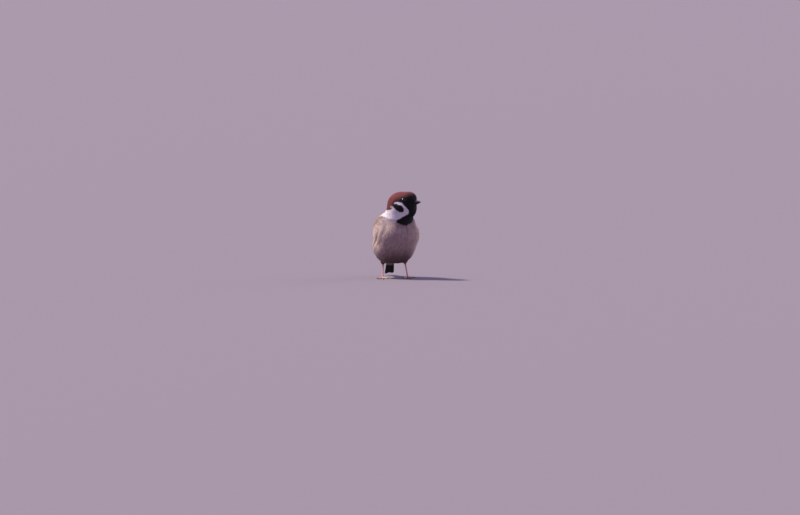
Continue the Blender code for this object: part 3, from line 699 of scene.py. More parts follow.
def lie_of(points):
    """The direction in which feathers point at these places, not yet laid on the surface."""
    z = points[..., 2]
    rise = np.radians(np.interp(z, [26.8, 33.5, 43.5, 55.0, 68.5, 80.0], [38, 46, 57, 70, 82, 92]))
    yaw = np.radians(np.interp(z, [43.5, 55.0, 68.5, 80.0], [0, 8, 24, HEAD_YAW]))
    back = np.stack([-np.sin(yaw) * np.cos(rise), np.cos(yaw) * np.cos(rise), -np.sin(rise)], axis=-1)
    forward, _, up = head_places(points)
    down_share = 0.25 + 1.3 * smooth_step(-4.0, -14.0, forward) + 0.55 * smooth_step(-5.0, -12.0, up)
    on_top = -HEAD_AXES[0] - HEAD_AXES[2] * down_share[..., None]
    share = smooth_step(-22.0, -12.0, up)
    lie = unit(back) * (1 - share[..., None]) + unit(on_top) * share[..., None]
    for side in (LEFT, RIGHT):
        aside = points - EYES[side]
        aside = aside - (aside @ EYE_AXES[side])[..., None] * EYE_AXES[side]
        reach = np.linalg.norm(aside, axis=-1)
        near = smooth_step(5.6, 3.2, reach) * ((points - EYES[side]) @ EYE_AXES[side] > -2.0)
        outwards = unit(aside)
        inward = np.minimum((lie * outwards).sum(axis=-1), 0.15)
        lie = lie - outwards * (near * (inward - 0.15))[..., None]
    return unit(lie)


TAIL_ROOT, TAIL_TIP = np.array([0.4, 20.0, 28.4]), np.array([4.7, 50.5, 1.6])
TAIL_WAY = unit(TAIL_TIP - TAIL_ROOT)


def laid_on(directions, away):
    """Directions with the part along away taken off, one millimetre long."""
    return unit(directions - (directions * away).sum(axis=-1, keepdims=True) * away)


def walk(starts, headings, reaches, levels, on_wing=None, lifts=None):
    """Walks over the plumage: each step goes on along the heading, laid flat there, and then
    moves to the step's level, or to the step's lift over the wing where on_wing is true and the
    wing lies below. Reaches are the distances from the start. Where the body ends at the tail,
    the walk lets go of the surface and goes on along the tail. Returns paths and outward ways."""
    loose = smooth_step(20.5, 26.0, starts[:, 1])[:, None]
    headings = unit(headings * (1 - loose) + TAIL_WAY * loose)

    def settled(here, k):
        height, away = field(here)
        level = levels[:, k]
        if on_wing is not None:
            over = under_wing(here, WING_BANK)[0]
            level = np.where(on_wing & (over > 0.05), np.maximum(level, over + lifts[:, k]), level)
        return here + away * (level - height)[:, None], away

    here, away = settled(starts, 0)
    paths, aways = [here], [away]
    for k in range(1, levels.shape[1]):
        headings = unit(laid_on(headings, away) * (1 - loose) + TAIL_WAY * loose)
        onward = here + headings * (reaches[:, k] - reaches[:, k - 1])[:, None]
        here, away = settled(onward, k)
        here = here * (1 - 0.85 * loose) + onward * 0.85 * loose
        paths.append(here)
        aways.append(away)
    return np.stack(paths, axis=1), np.stack(aways, axis=1)


print("eye centres, mm:", EYES[LEFT].round(1), EYES[RIGHT].round(1))


# %% [markdown]
# ## Blades: the barbs of a soft feather
# Close up, a small body feather is a fan of fine barbs that cling together near the root and
# part at the tip. Each fan here is a handful of blades. A blade has three edges: left, right and
# a low ridge, so it is a closed solid of some ten to sixteen triangles that catches light as a
# barb does. A mesh of blades is one array of points, whatever their number.

# %% Meshes of blades
BLADE_WIDTHS = {2: (0.6, 1.0), 3: (0.45, 1.0, 0.8)}
PATCH = 0.003


def blade_faces(count, rings):
    """Faces of blades with rings of left edge, ridge and right edge, and then one tip point."""
    sides = ((0, 1), (1, 2), (2, 0))
    quads = [[3 * k + b, 3 * k + 3 + b, 3 * k + 3 + a, 3 * k + a] for k in range(rings - 1) for a, b in sides]
    last = 3 * rings
    triangles = [[2, 1, 0]] + [[last - 3 + b, last, last - 3 + a] for a, b in sides]
    shift = (np.arange(count) * (last + 1))[:, None, None]
    return (np.array(quads) + shift).reshape(-1, 4), (np.array(triangles) + shift).reshape(-1, 3)


def blades(name, paths, aways, half_widths, tints, places, slot):
    """One piece of many blades. Paths are (blades, steps, 3) and end at the tip, half widths one
    per blade, tints (blades, steps, 3), and places are the roots on the unwrapped skin. The
    normals lie between the blade's own and the body's, so that the coat shades as one soft
    surface with a fine grain."""
    count, rings = len(paths), paths.shape[1] - 1
    along = unit(np.gradient(paths, axis=1))
    across = unit(np.cross(along, aways))[:, :rings]
    reach = (half_widths[:, None] * np.array(BLADE_WIDTHS[rings]))[..., None]
    middle = paths[:, :rings]
    ridge = middle + aways[:, :rings] * reach * 0.45

    def with_tips(left, top, right, tips):
        """Three values for each ring, then one for the tip, as the faces count them."""
        edges = np.stack([left, top, right], axis=2).reshape(count, -1, 3)
        return np.concatenate([edges, tips[:, rings:]], axis=1).reshape(-1, 3)

    points = with_tips(middle - across * reach, ridge, middle + across * reach, paths)
    colours = np.concatenate([np.repeat(tints[:, :rings], 3, axis=1), tints[:, rings:]], axis=1)
    local = [(x, 0.9 * k / rings) for k in range(rings) for x in (-0.5, 0.0, 0.5)] + [(0.0, 1.0)]
    spot = (places[:, None] + np.array(local)[None] * PATCH).reshape(-1, 2)
    rise = unit(unit(np.cross(np.cross(along, aways), along)) * 0.4 + aways * 0.6)
    body, lean = rise[:, :rings], across * 0.3
    upward = unit(with_tips(body - lean, body, body + lean, rise))
    faces = blade_faces(count, rings)
    corners = np.concatenate([part.ravel() for part in faces])
    return make_piece(name, points, faces, SOFT_PLUMAGE, colours, spot[corners], normals=upward)


def on_map(turn, row, seam=0.5):
    """Places on an unwrap of the skin, cut along the seam and stretched to fill the square."""
    flat = np.stack([(turn - seam) % 1.0, np.interp(row, np.arange(BODY_ROWS), ROW_SHARE)], axis=1)
    low, high = flat.min(axis=0), flat.max(axis=0)
    return 0.01 + 0.975 * (flat - low) / (high - low)


# %% [markdown]
# ## Where the folded wing lies
# The folded wing is a curved sheet laid on the plumage. Its lower and upper edges are curves,
# and a parabola spans them. The share s runs from the wrist to the tip, and t from the lower
# edge to the upper one. A table of this sheet tells the body's feathers where they must climb
# over the wing, and later gives every wing feather its bed.

# %% The wing's inner and outer sheet
WING_LIFT, WING_THICKNESS, WING_EDGE, WING_BLADE = 0.45, 2.4, 0.6, 0.55
TRUNK_MIDDLE_X = 1.9
WING_LOWER = [
    (19.0, -8.5, 57.0), (21.5, -5.0, 47.0), (20.2, 6.0, 34.0), (13.0, 21.5, 23.8), (5.4, 40.8, 16.2)]
WING_UPPER = [
    (18.5, -6.0, 62.5), (12.5, 11.0, 62.0), (8.0, 22.0, 48.8), (5.0, 28.3, 34.5), (1.6, 41.5, 18.4)]
TABLE_S, TABLE_T = 121, 61
WING_BANK = 7.0  # how far from the wing the body's feathers start to climb onto it
FARTHEST_BELOW = 8.0  # a place farther under the wing than this has nothing to do with it


def wing_table(side):
    """Inner and outer sheet on a grid of s and t. The sheet is laid on the plumage, or leaves it
    towards the tip, where only half a millimetre each way remains."""
    s = np.linspace(0.0, 1.0, TABLE_S)[:, None] + np.zeros((1, TABLE_T))
    t = np.linspace(0.0, 1.0, TABLE_T)[None, :] + np.zeros((TABLE_S, 1))
    lower, upper = spline(WING_LOWER, TABLE_S)[:, None], spline(WING_UPPER, TABLE_S)[:, None]
    prow = np.clip(1 - s / 0.2, 0.0, 1.0) ** 2
    bulge = np.stack([5.0 * (1 - s) + 1.0 - 2.0 * prow, -9.0 * prow, 0.8 + 0.0 * s], axis=-1)
    w = t[..., None]
    sheet = (1 - w) ** 2 * lower + 2 * w * (1 - w) * ((lower + upper) / 2 + bulge) + w**2 * upper
    sheet = sheet * [side, 1.0, 1.0] + [TRUNK_MIDDLE_X, 0.0, 0.0]
    round_edge = np.sqrt(np.clip(1.0 - (2 * t - 1) ** 4, 0.0, 1.0))
    round_front = 0.08 + 0.92 * smooth_step(-0.02, 0.3, s)
    thickness = WING_EDGE + (WING_THICKNESS - WING_EDGE) * round_edge * round_front * (1 - 0.35 * s)
    free = smooth_step(0.66, 0.92, s)[..., None]
    clear = np.maximum(field(sheet)[0], 0.3 + WING_BLADE + 0.35)
    lifted = at_level(sheet, clear, 8)
    away = field(lifted)[1]
    outer = at_level(sheet, WING_LIFT + thickness, 8) * (1 - free) + (lifted + away * WING_BLADE) * free
    inner = at_level(sheet, WING_LIFT, 8) * (1 - free) + (lifted - away * WING_BLADE) * free
    return inner, outer


WINGS = {side: wing_table(side) for side in (LEFT, RIGHT)}
cover_points = np.concatenate([WINGS[side][1][::3, ::2].reshape(-1, 3) for side in (LEFT, RIGHT)])
cover_levels = field(cover_points)[0]
cover_s = np.tile(np.repeat(np.linspace(0, 1, TABLE_S)[::3], TABLE_T // 2 + 1), 2)
cover_t = np.tile(np.linspace(0, 1, TABLE_T)[::2], 2 * (TABLE_S // 3 + 1))
for side, word in SIDES:
    outer = WINGS[side][1]
    breadths = np.linalg.norm(np.diff(outer, axis=1), axis=-1).sum(axis=1)
    lengths = np.linalg.norm(np.diff(outer, axis=0), axis=-1).sum(axis=0)
    print(word, "wing: breadth at s 0, .1 .. 1:", breadths[::12].round(1))
    print(word, "wing: length at t 0, .5, 1:", lengths[::30].round(1))


def under_wing(points, bank=2.2):
    """For each point: the level of the wing over it, falling to 0 over the bank beside the wing,
    and the s and t of the wing's nearest place."""
    flat = points.reshape(-1, 3)
    levels, lengths, widths = [], [], []
    for part in np.array_split(flat, max(1, len(flat) // 4000)):
        apart = (part**2).sum(1)[:, None] + (cover_points**2).sum(1)[None] - 2 * part @ cover_points.T
        nearest = apart.argmin(axis=1)
        gap = part - cover_points[nearest]
        away = field(part)[1]
        below = (gap * away).sum(axis=1, keepdims=True)
        aside = np.linalg.norm(gap - below * away, axis=1)
        beside = smooth_step(bank, 0.4 * bank, aside) * (np.abs(below[:, 0]) < FARTHEST_BELOW)
        levels.append(cover_levels[nearest] * beside)
        lengths.append(cover_s[nearest])
        widths.append(cover_t[nearest])
    shape = points.shape[:-1]
    return tuple(np.concatenate(part).reshape(shape) for part in (levels, lengths, widths))


# %% [markdown]
# ## Tracts of small feathers
# Feathers grow in tracts: cap, face, neck, breast, belly, back and rump, and one over the bend of
# the wing. A tract is a density over the body plus a few sizes: how long a tuft is, how many
# blades it has, how wide it opens and how far its tip stands off. Tufts are smallest round the
# bill and longest on the rump. Those of the breast's sides and flanks lie over the wing's edge
# and tuck it in, as on a resting bird.

# %% Densities of the tracts
cell_cover, cell_s, cell_t = under_wing(cell_middles)
cell_forward, cell_out, cell_up = head_places(cell_middles)
cell_y, cell_z = cell_middles[..., 1], cell_middles[..., 2]
cell_back = 0.5 - 0.5 * np.cos(2 * np.pi * CELL_TURN)
on_head_share = smooth_step(-15.5, -12.5, cell_up + 0.35 * cell_forward)
cap_share = on_head_share * (cell_up > curve(cell_forward, CAP_EDGE) - 1.2)
neck_share = (1 - on_head_share) * smooth_step(56.0, 63.0, cell_z - 4.0 * cell_back)
trunk_share = (1 - on_head_share) * (1 - neck_share)
rump_share = trunk_share * smooth_step(-6.0, -1.0, (cell_y - 17.5) * 0.88 - (cell_z - 29.0) * 0.47)
back_share = (trunk_share - rump_share) * smooth_step(0.5, 0.6, cell_back)
front_share = trunk_share - rump_share - back_share
high = smooth_step(37.0, 47.0, cell_z)
bend_end = 0.17 + 0.07 * smooth_step(0.7, 0.45, cell_t)
tucked_in = (cell_s < bend_end) | ((cell_t < 0.12) & (cell_s < 0.5)) | (cell_s > 0.62)
free = ~((cell_cover > 0.3) & ~tucked_in)
bend_share = 1.0 * ((cell_cover > 0.3) & (cell_s < bend_end) & (on_head_share < 0.5))
free &= ~((cell_forward > 9.5) & (np.hypot(cell_out, cell_up + 1.4) < 2.7))
for side in (LEFT, RIGHT):
    free &= np.linalg.norm(cell_middles - EYES[side] - EYE_AXES[side] * EYE_SUNK, axis=-1) > 2.6


def smallness(points):
    """The size of tufts as a share: 1 on the body and crown, less towards the bill and eye."""
    forward, _, up = head_places(points)
    small = 1.0 - 0.5 * smooth_step(1.0, 12.0, forward) * smooth_step(-17.0, -12.0, up)
    nearness = up + 0.35 * forward
    small = small * (1 - 0.42 * smooth_step(-26.0, -15.5, nearness) * (nearness < -14.0))
    small = small * (1 + 0.25 * smooth_step(-6.0, -13.0, nearness) * (nearness >= -14.0))
    for side in (LEFT, RIGHT):
        reach = np.linalg.norm(points - EYES[side], axis=-1)
        small = small * (1 - 0.3 * smooth_step(6.5, 3.5, reach))
    return small


class Tract:
    """Sizes of one kind of plumage: lengths in millimetres, the opening in radians."""

    def __init__(self, where, tufts, blades, length, half_width, opening, stand, steps, slot):
        self.where, self.tufts, self.blades, self.length = where * free, tufts, blades, length
        self.half_width, self.opening, self.stand = half_width, opening, stand
        self.steps, self.slot = steps, slot


TRACTS = {
    "neck": Tract(neck_share * (1 - bend_share), 1550, 7, 4.8, 0.19, 0.36, 0.2, 4, "neck"),
    "breast": Tract(front_share * high * (1 - bend_share), 1400, 8, 6.2, 0.22, 0.38, 0.3, 4, "breast"),
    "belly": Tract(front_share * (1 - high), 1400, 8, 7.4, 0.24, 0.4, 0.35, 4, "belly"),
    "wing_bend": Tract(bend_share, 760, 8, 6.0, 0.22, 0.36, 0.3, 4, "breast"),
    "back": Tract(back_share * (1 - bend_share), 560, 7, 6.6, 0.22, 0.3, 0.0, 4, "back"),
    "rump": Tract(rump_share, 850, 7, 8.0, 0.24, 0.26, 0.05, 4, "back"),
}
for word, half in (("left", CELL_TURN < 0.5), ("right", CELL_TURN >= 0.5)):
    TRACTS[f"cap_{word}"] = Tract(cap_share * half, 2500, 5, 2.9, 0.105, 0.32, 0.06, 3, "cap")
    face_share = (on_head_share - cap_share) * half
    TRACTS[f"face_{word}"] = Tract(face_share, 3150, 5, 2.4, 0.1, 0.34, 0.06, 3, "neck")
cell_density = 1 / smallness(cell_middles) ** 2


# %% Grow the tracts


def grow(name, tract):
    """One tract as one piece. Blade b of a tuft leaves its root a little to the side, turned by
    the opening angle, and is shorter towards the sides, so that the tips draw a round edge. Each
    blade takes the colour of the place that it shows at, past its middle."""
    chance = np.random.default_rng(sum(map(ord, name)))
    tufts, count, steps = tract.tufts, tract.blades, tract.steps
    total = tufts * count
    turn, row = even_places(tufts, tract.where * cell_density + 1e-9)
    roots = on_outline(turn, row)
    small = smallness(roots)
    length = tract.length * small * chance.uniform(0.85, 1.12, tufts)
    share = np.linspace(-1.0, 1.0, count)[None, :] + chance.uniform(-0.16, 0.16, (tufts, count))
    away = field(roots)[1]
    heading = laid_on(lie_of(roots) + 0.05 * chance.normal(size=(tufts, 3)), away)
    across = np.cross(heading, away)
    angle = (share * tract.opening)[..., None]
    headings = (heading[:, None] * np.cos(angle) + across[:, None] * np.sin(angle)).reshape(total, 3)
    starts = (roots[:, None] + across[:, None] * (share * length[:, None] * 0.1)[..., None]).reshape(total, 3)
    lengths = (length[:, None] * (1.0 - 0.22 * share**2) * chance.uniform(0.9, 1.08, share.shape)).ravel()
    depth = np.repeat(coat_depth(roots), count)[:, None]
    forward, out, up = head_places(roots)
    puff = 1.0 * np.exp(-((forward - 0.5) / 4.0) ** 2 - ((out - 9.5) / 4.0) ** 2 - ((up + 15.5) / 2.6) ** 2)
    lift = (tract.stand * chance.uniform(0.3, 1.3, total) + np.repeat(puff, count))[:, None]
    step = np.linspace(0.0, 1.0, steps)
    rise = 1 - (1 - step) ** 1.7
    levels = -0.92 * depth + (depth + lift) * rise
    _, s, t = under_wing(roots)
    on_wing = np.repeat((s < 0.42) | ((t < 0.35) & (s < 0.55)), count)
    lifts = -0.3 + (0.5 + lift) * rise
    paths, aways = walk(starts, headings, lengths[:, None] * step, levels, on_wing, lifts)
    seen = at_level(starts + headings * lengths[:, None] * 0.65, 0.0, 2)
    tints = markings(seen, np.repeat(turn, count))
    spread = 1.0 if steps == 3 else 1.5
    tone = (1 + spread * chance.uniform(-0.13, 0.1, (tufts, 1))) * (1 + 0.08 * wander(roots, 4.2))[:, None]
    tone = (tone * chance.uniform(0.9, 1.1, (tufts, count))).reshape(total, 1, 1)
    # Painted shade: each blade darkens towards its root, where the tufts overlap, and its tip is a little
    # brighter than the place's colour.
    root_shade = 0.72 if name == "rump" else 0.52
    shade = (root_shade + (1.05 - root_shade) * step**0.8)[None, :, None]
    widths = np.repeat(tract.half_width * (0.45 + 0.55 * small), count) * chance.uniform(0.8, 1.2, total)
    places = np.repeat(on_map(turn, row, 0.0 if name == "back" else 0.5), count, axis=0)
    return blades("feathers_" + name, paths, aways, widths, tints[:, None] * tone * shade, places, tract.slot)


for name, tract in TRACTS.items():
    piece = grow(name, tract)
    print(piece.name, "triangles:", triangles_in(piece))


# %% Feathers of the thighs


def thigh_plumage(side, word, tufts=300, count=5):
    """Blades that run down the thigh to just past the hock, over the thigh's own line."""
    chance = np.random.default_rng(40 + side)
    line, radii = thigh_line(side, 60)
    _, side_way, up_way = tube_frames(line)
    number = np.arange(tufts) + 0.5
    start = 0.1 + 0.85 * ((number * STEP_V) % 1.0)
    angle = 2 * np.pi * ((number * STEP_U) % 1.0)
    share = np.linspace(-1, 1, count)[None] + chance.uniform(-0.2, 0.2, (tufts, count))
    length = 0.34 * chance.uniform(0.6, 1.3, (tufts, count)) * (0.5 + 0.6 * start[:, None])
    step = np.linspace(0, 1, 4)
    s = start[:, None, None] - length[..., None] * step
    past = np.minimum(s, 0.0)
    s = np.clip(s, 0.0, 1.0)
    lift = 1.0 + 0.1 * chance.uniform(-1, 1, (tufts, count, 1))
    radius = np.interp(s, np.linspace(0, 1, 60), radii) - 0.9 + lift * np.array([0, 0.6, 0.9, 1.0])
    radius = radius * np.maximum(1 + 3.4 * past, 0.5)
    turn = angle[:, None, None] + share[..., None] * (0.12 + 0.25 * step)

    def along_line(values):
        return np.stack([np.interp(s, np.linspace(0, 1, 60), values[:, k]) for k in range(3)], axis=-1)

    away = along_line(side_way) * np.cos(turn)[..., None] + along_line(up_way) * np.sin(turn)[..., None]
    end = unit(line[0] - line[3])
    paths = along_line(line) + away * radius[..., None] - end * past[..., None] * 18.0
    total = tufts * count
    # Painted shade: the thigh's feathers take 0.6 of the flank colour and 0.5 of the belly colour towards the
    # hock, and each blade darkens towards its root.
    tints = mixed(np.tile(SHADED_FLANK * 0.6, (tufts, 1)), SHADED_BELLY * 0.5, smooth_step(0.7, 0.25, start))[:, None, None]
    tints = tints * np.array([0.55, 0.8, 0.95, 1.0])[:, None] * chance.uniform(0.8, 1.1, (tufts, count, 1, 1))
    places = np.repeat(np.stack([angle / (2 * np.pi), start], axis=1) * 0.97 + 0.01, count, axis=0)
    return blades(f"feathers_thigh_{word}", paths.reshape(total, 4, 3), away.reshape(total, 4, 3),
                  np.full(total, 0.18), tints.reshape(total, 4, 3), places, "belly")


for side, word in SIDES:
    thigh_plumage(side, word)
print("thigh feathers grown")


# %% [markdown]
# ## Vanes: feathers that show their shape
# A flight feather is a flat vane with a raised shaft, one web narrower than the other. Here it
# is a closed plate on a grid of a, along the shaft, and q, across it. Each has a root lower than
# its tip, so that rows overlap like shingles.

# %% The finish of a vane
BARB_SLANT = 1.1  # how far a barb runs towards the tip for each millimetre from the shaft
BARBS_TURN = 17.0  # turns of the wave, in radians for each millimetre


def vane_finish():
    """Barbs are fine ridges that slant from the shaft to the tip. A wave over the vane's own map
    draws them in height."""
    made = finish("vane", 0.66, 500.0, 0.35, Sheen_Weight=0.04, Specular_IOR_Level=0.22)
    tree = made.node_tree
    nodes, links = tree.nodes, tree.links
    places = nodes.new("ShaderNodeUVMap")
    places.uv_map = "vane"
    parts = nodes.new("ShaderNodeSeparateXYZ")
    links.new(places.outputs["UV"], parts.inputs[0])
    aside = sum_of(tree, "ABSOLUTE", parts.outputs["X"])
    slant = sum_of(tree, "MULTIPLY_ADD", aside, -BARB_SLANT, parts.outputs["Y"])
    wave = sum_of(tree, "SINE", sum_of(tree, "MULTIPLY", slant, BARBS_TURN))
    relief = nodes.new("ShaderNodeBump")
    relief.inputs["Strength"].default_value = 0.45
    relief.inputs["Distance"].default_value = 0.00006
    links.new(wave, relief.inputs["Height"])
    links.new(relief.outputs["Normal"], nodes["Principled BSDF"].inputs["Normal"])
    return made


VANE = vane_finish()


# %% Meshes of vanes
def plate_faces(count, rows, columns):
    """Faces of closed plates: an upper and a lower sheet of rows times columns, and a rim."""
    r, c = np.meshgrid(np.arange(rows - 1), np.arange(columns - 1), indexing="ij")
    a = (r * columns + c).ravel()
    upper = np.stack([a, a + 1, a + columns + 1, a + columns], axis=1)
    sheet = rows * columns
    lower = upper[:, ::-1] + sheet
    rim = np.concatenate([
        np.arange(columns), np.arange(1, rows) * columns + columns - 1,
        (rows - 1) * columns + np.arange(columns - 2, -1, -1), np.arange(rows - 2, 0, -1) * columns])
    after = np.roll(rim, -1)
    edge = np.stack([after, rim, rim + sheet, after + sheet], axis=1)
    faces = np.concatenate([upper, lower, edge])
    return (faces[None] + (np.arange(count) * 2 * sheet)[:, None, None]).reshape(-1, 4)


class Vanes:
    """A batch of vanes: their two sheets, the shares along and across, and places in
    millimetres from the shaft and root."""

    def __init__(self, upper, lower, a, q, flat):
        self.upper, self.lower, self.a, self.q, self.flat = upper, lower, a, q, flat


def own_patches(count, a, q):
    """A cell of the map for each vane: its upper side in the left half and its lower side in the
    right half, with a gap round both."""
    down = max(1, int(math.sqrt(count / 2.0)))
    across = -(-count // down)
    cell = np.arange(count)
    u = 0.03 + 0.44 * (q + 1) / 2
    v = 0.03 + 0.94 * a
    sheets = []
    for half in (0.0, 0.5):
        sheets.append(np.stack([((cell % across)[:, None, None] + u + half) / across,
                                ((cell // across)[:, None, None] + v) / down], axis=-1))
    return np.stack(sheets, axis=1)


def plates(name, batch, tints, material=None, underside=0.7):
    """One piece of many closed plates. The lower sheet takes the tint times underside, a painted shade."""
    count, rows, columns = batch.upper.shape[:3]
    points = np.stack([batch.upper, batch.lower], axis=1).reshape(-1, 3)
    colours = np.stack([tints, tints * underside], axis=1).reshape(-1, 3)
    faces = plate_faces(count, rows, columns)
    sheet = rows * columns
    bake = own_patches(count, batch.a, batch.q).reshape(-1, 2)
    looked_up = faces.copy().reshape(count, -1, 4)
    flat_faces = 2 * (rows - 1) * (columns - 1)
    rim = looked_up[:, flat_faces:]
    vane = (np.arange(count) * 2 * sheet)[:, None, None]
    looked_up[:, flat_faces:] = (rim - vane) % sheet + vane
    looked_up = looked_up.reshape(-1, 4)
    if signed_volume(points, faces) < 0:
        faces, looked_up = faces[:, ::-1], looked_up[:, ::-1]
    flat = np.stack([batch.flat, batch.flat], axis=1).reshape(-1, 2)
    return make_piece(name, points, [faces], material or VANE, colours, bake[looked_up.ravel()],
                      flat[faces.ravel()])


def vane_shape(rows, columns, tip=0.35, root=0.35):
    """Shares along and across, and how wide the vane is there: it opens over the root's share
    and closes like an ellipse over the tip's share."""
    a = np.concatenate([np.linspace(0, 1 - tip, rows - rows // 2, endpoint=False),
                        1 - tip * np.cos(np.linspace(0, np.pi / 2, rows // 2))])
    width = np.minimum(root + (1 - root) * smooth_step(0.0, 0.3, a), 1.0)
    closing = np.sqrt(np.clip(1 - (np.clip(a - (1 - tip), 0, None) / tip) ** 2, 0.0025, 1.0))
    return a, np.linspace(-1.0, 1.0, columns), width * closing


# %% [markdown]
# ## Mantle and shoulder feathers
# They stand in columns along the back, each column half a step ahead of the next. In each
# feather the middle blades are black and the outer ones brown or buff, so a column's middles
# line up into a streak. On the shoulders they lie over the front of the wing's upper edge, where
# they hide how the wing joins the body.

# %% Streaked fans in columns


def mantle_places():
    """Columns by turn and rows by the length along the body, offset by half in every other
    column, kept where the back is free or the wing's upper front lies below."""
    column = np.arange(-15, 16)
    spacing = 3.0
    step = np.arange(int(0.34 * row_steps.sum() / spacing), int(0.80 * row_steps.sum() / spacing))
    share = (step[None] + 0.5 * (column[:, None] % 2)) * spacing / row_steps.sum()
    turn = 0.5 + 0.0225 * column[:, None] + 0 * share
    row = np.interp(share, ROW_SHARE, np.arange(BODY_ROWS))
    turn, row = turn.ravel(), row.ravel()
    roots = on_outline(turn, row)
    over, s, t = under_wing(roots)
    forward, _, up = head_places(roots)
    back = 0.5 - 0.5 * np.cos(2 * np.pi * turn)
    keep = (up + 0.35 * forward < -17.5) & (roots[:, 2] > 37.0)
    keep &= ((over < 0.3) & (back > 0.6)) | ((over >= 0.3) & (t > 0.74) & (s < 0.31))
    return turn[keep], row[keep]


def mantle_fans(count=15, steps=4):
    """Fans as in the tracts, but wide enough to meet, with the colour chosen by the blade's share
    across the fan. The side blades lie a little lower, so each feather is rounded."""
    chance = np.random.default_rng(77)
    turn, row = mantle_places()
    tufts = len(turn)
    total = tufts * count
    turn, row = turn + chance.normal(0, 0.0022, tufts), row + chance.normal(0, 0.35, tufts)
    roots = on_outline(turn, row)
    side = smooth_step(6.0, 12.0, np.abs(roots[:, 0] - TRUNK_MIDDLE_X))
    size = (1 + 0.22 * side) * chance.uniform(0.9, 1.1, tufts)
    share = np.linspace(-1.0, 1.0, count)[None] + chance.uniform(-0.06, 0.06, (tufts, count))
    away = field(roots)[1]
    heading = laid_on(lie_of(roots) + 0.05 * chance.normal(size=(tufts, 3)), away)
    across = np.cross(heading, away)
    angle = (share * 0.2)[..., None]
    headings = (heading[:, None] * np.cos(angle) + across[:, None] * np.sin(angle)).reshape(total, 3)
    starts = (roots[:, None] + across[:, None] * (share * size[:, None] * 1.15)[..., None]).reshape(total, 3)
    lengths = (8.2 * size[:, None] * (1.0 - 0.3 * share**2) * chance.uniform(0.94, 1.05, share.shape)).ravel()
    step = np.linspace(0.0, 1.0, steps)
    rise = 1 - (1 - step) ** 1.5
    drop = (0.16 * share**2).reshape(total, 1)
    levels = -1.1 + (1.45 + chance.uniform(-0.08, 0.08, (total, 1))) * rise - drop
    lifts = -0.35 + 0.75 * rise - drop
    on_wing = np.repeat(under_wing(roots)[1] < 0.5, count)
    paths, aways = walk(starts, headings, lengths[:, None] * step, levels, on_wing, lifts)
    fade = (smooth_step(38, 46, roots[:, 2]) * smooth_step(73, 67, roots[:, 2]))[:, None]
    ground = mixed(np.tile(MANTLE, (tufts, 1)), CHESTNUT * 0.95, 0.45 * side)
    ground = mixed(ground, RUMP, smooth_step(45, 38, roots[:, 2]))
    ground = mixed(ground, NAPE, smooth_step(63, 69, roots[:, 2]))[:, None] + 0 * share[..., None]
    ground = mixed(ground, MANTLE_PALE, smooth_step(0.62, 0.85, np.abs(share)) * 0.6 * fade)
    stripe = smooth_step(0.52, 0.4, np.abs(share + 0.08)) * fade
    tints = mixed(ground, MANTLE_STREAK, stripe * 0.95) * chance.uniform(0.85, 1.12, (tufts, 1, 1))
    tints = (tints * chance.uniform(0.9, 1.1, (tufts, count, 1))).reshape(total, 1, 3)
    # Painted shade: each blade darkens towards its root, where the fans overlap.
    shade = (0.55 + 0.5 * step**0.8)[None, :, None]
    places = np.repeat(on_map(turn, row, 0.0), count, axis=0)
    widths = np.repeat(0.27 * size, count)
    made = blades("feathers_mantle", paths, aways, widths, tints * shade, places, "back")
    print("mantle and shoulder feathers:", tufts, " blades:", total)
    return made


mantle_fans()


# %% [markdown]
# ## The wing's feathers
# A folded wing stacks its long feathers like a fan: tertials on top, then secondaries, and the
# primaries lowest, which reach furthest back. Over their roots lie the coverts in rows. Each
# vane climbs from low to high between the inner and outer sheet of the wing, so its root slips
# under the row in front. The outer web, which shows, is the narrow one, and its pale edge draws
# the fine lines of a sparrow's wing.

# %% Vanes in the wing


def sheet_at(side, s, t):
    """Inner and outer points of the wing at any s and t, weighing the corners of the cell."""
    x, y = np.clip(s, 0, 1) * (TABLE_S - 1), np.clip(t, 0, 1) * (TABLE_T - 1)
    i, j = np.minimum(x.astype(int), TABLE_S - 2), np.minimum(y.astype(int), TABLE_T - 2)
    x, y = (x - i)[..., None], (y - j)[..., None]
    both = []
    for table in WINGS[side]:
        low = table[i, j] * (1 - y) + table[i, j + 1] * y
        high = table[i + 1, j] * (1 - y) + table[i + 1, j + 1] * y
        both.append(low * (1 - x) + high * x)
    return both


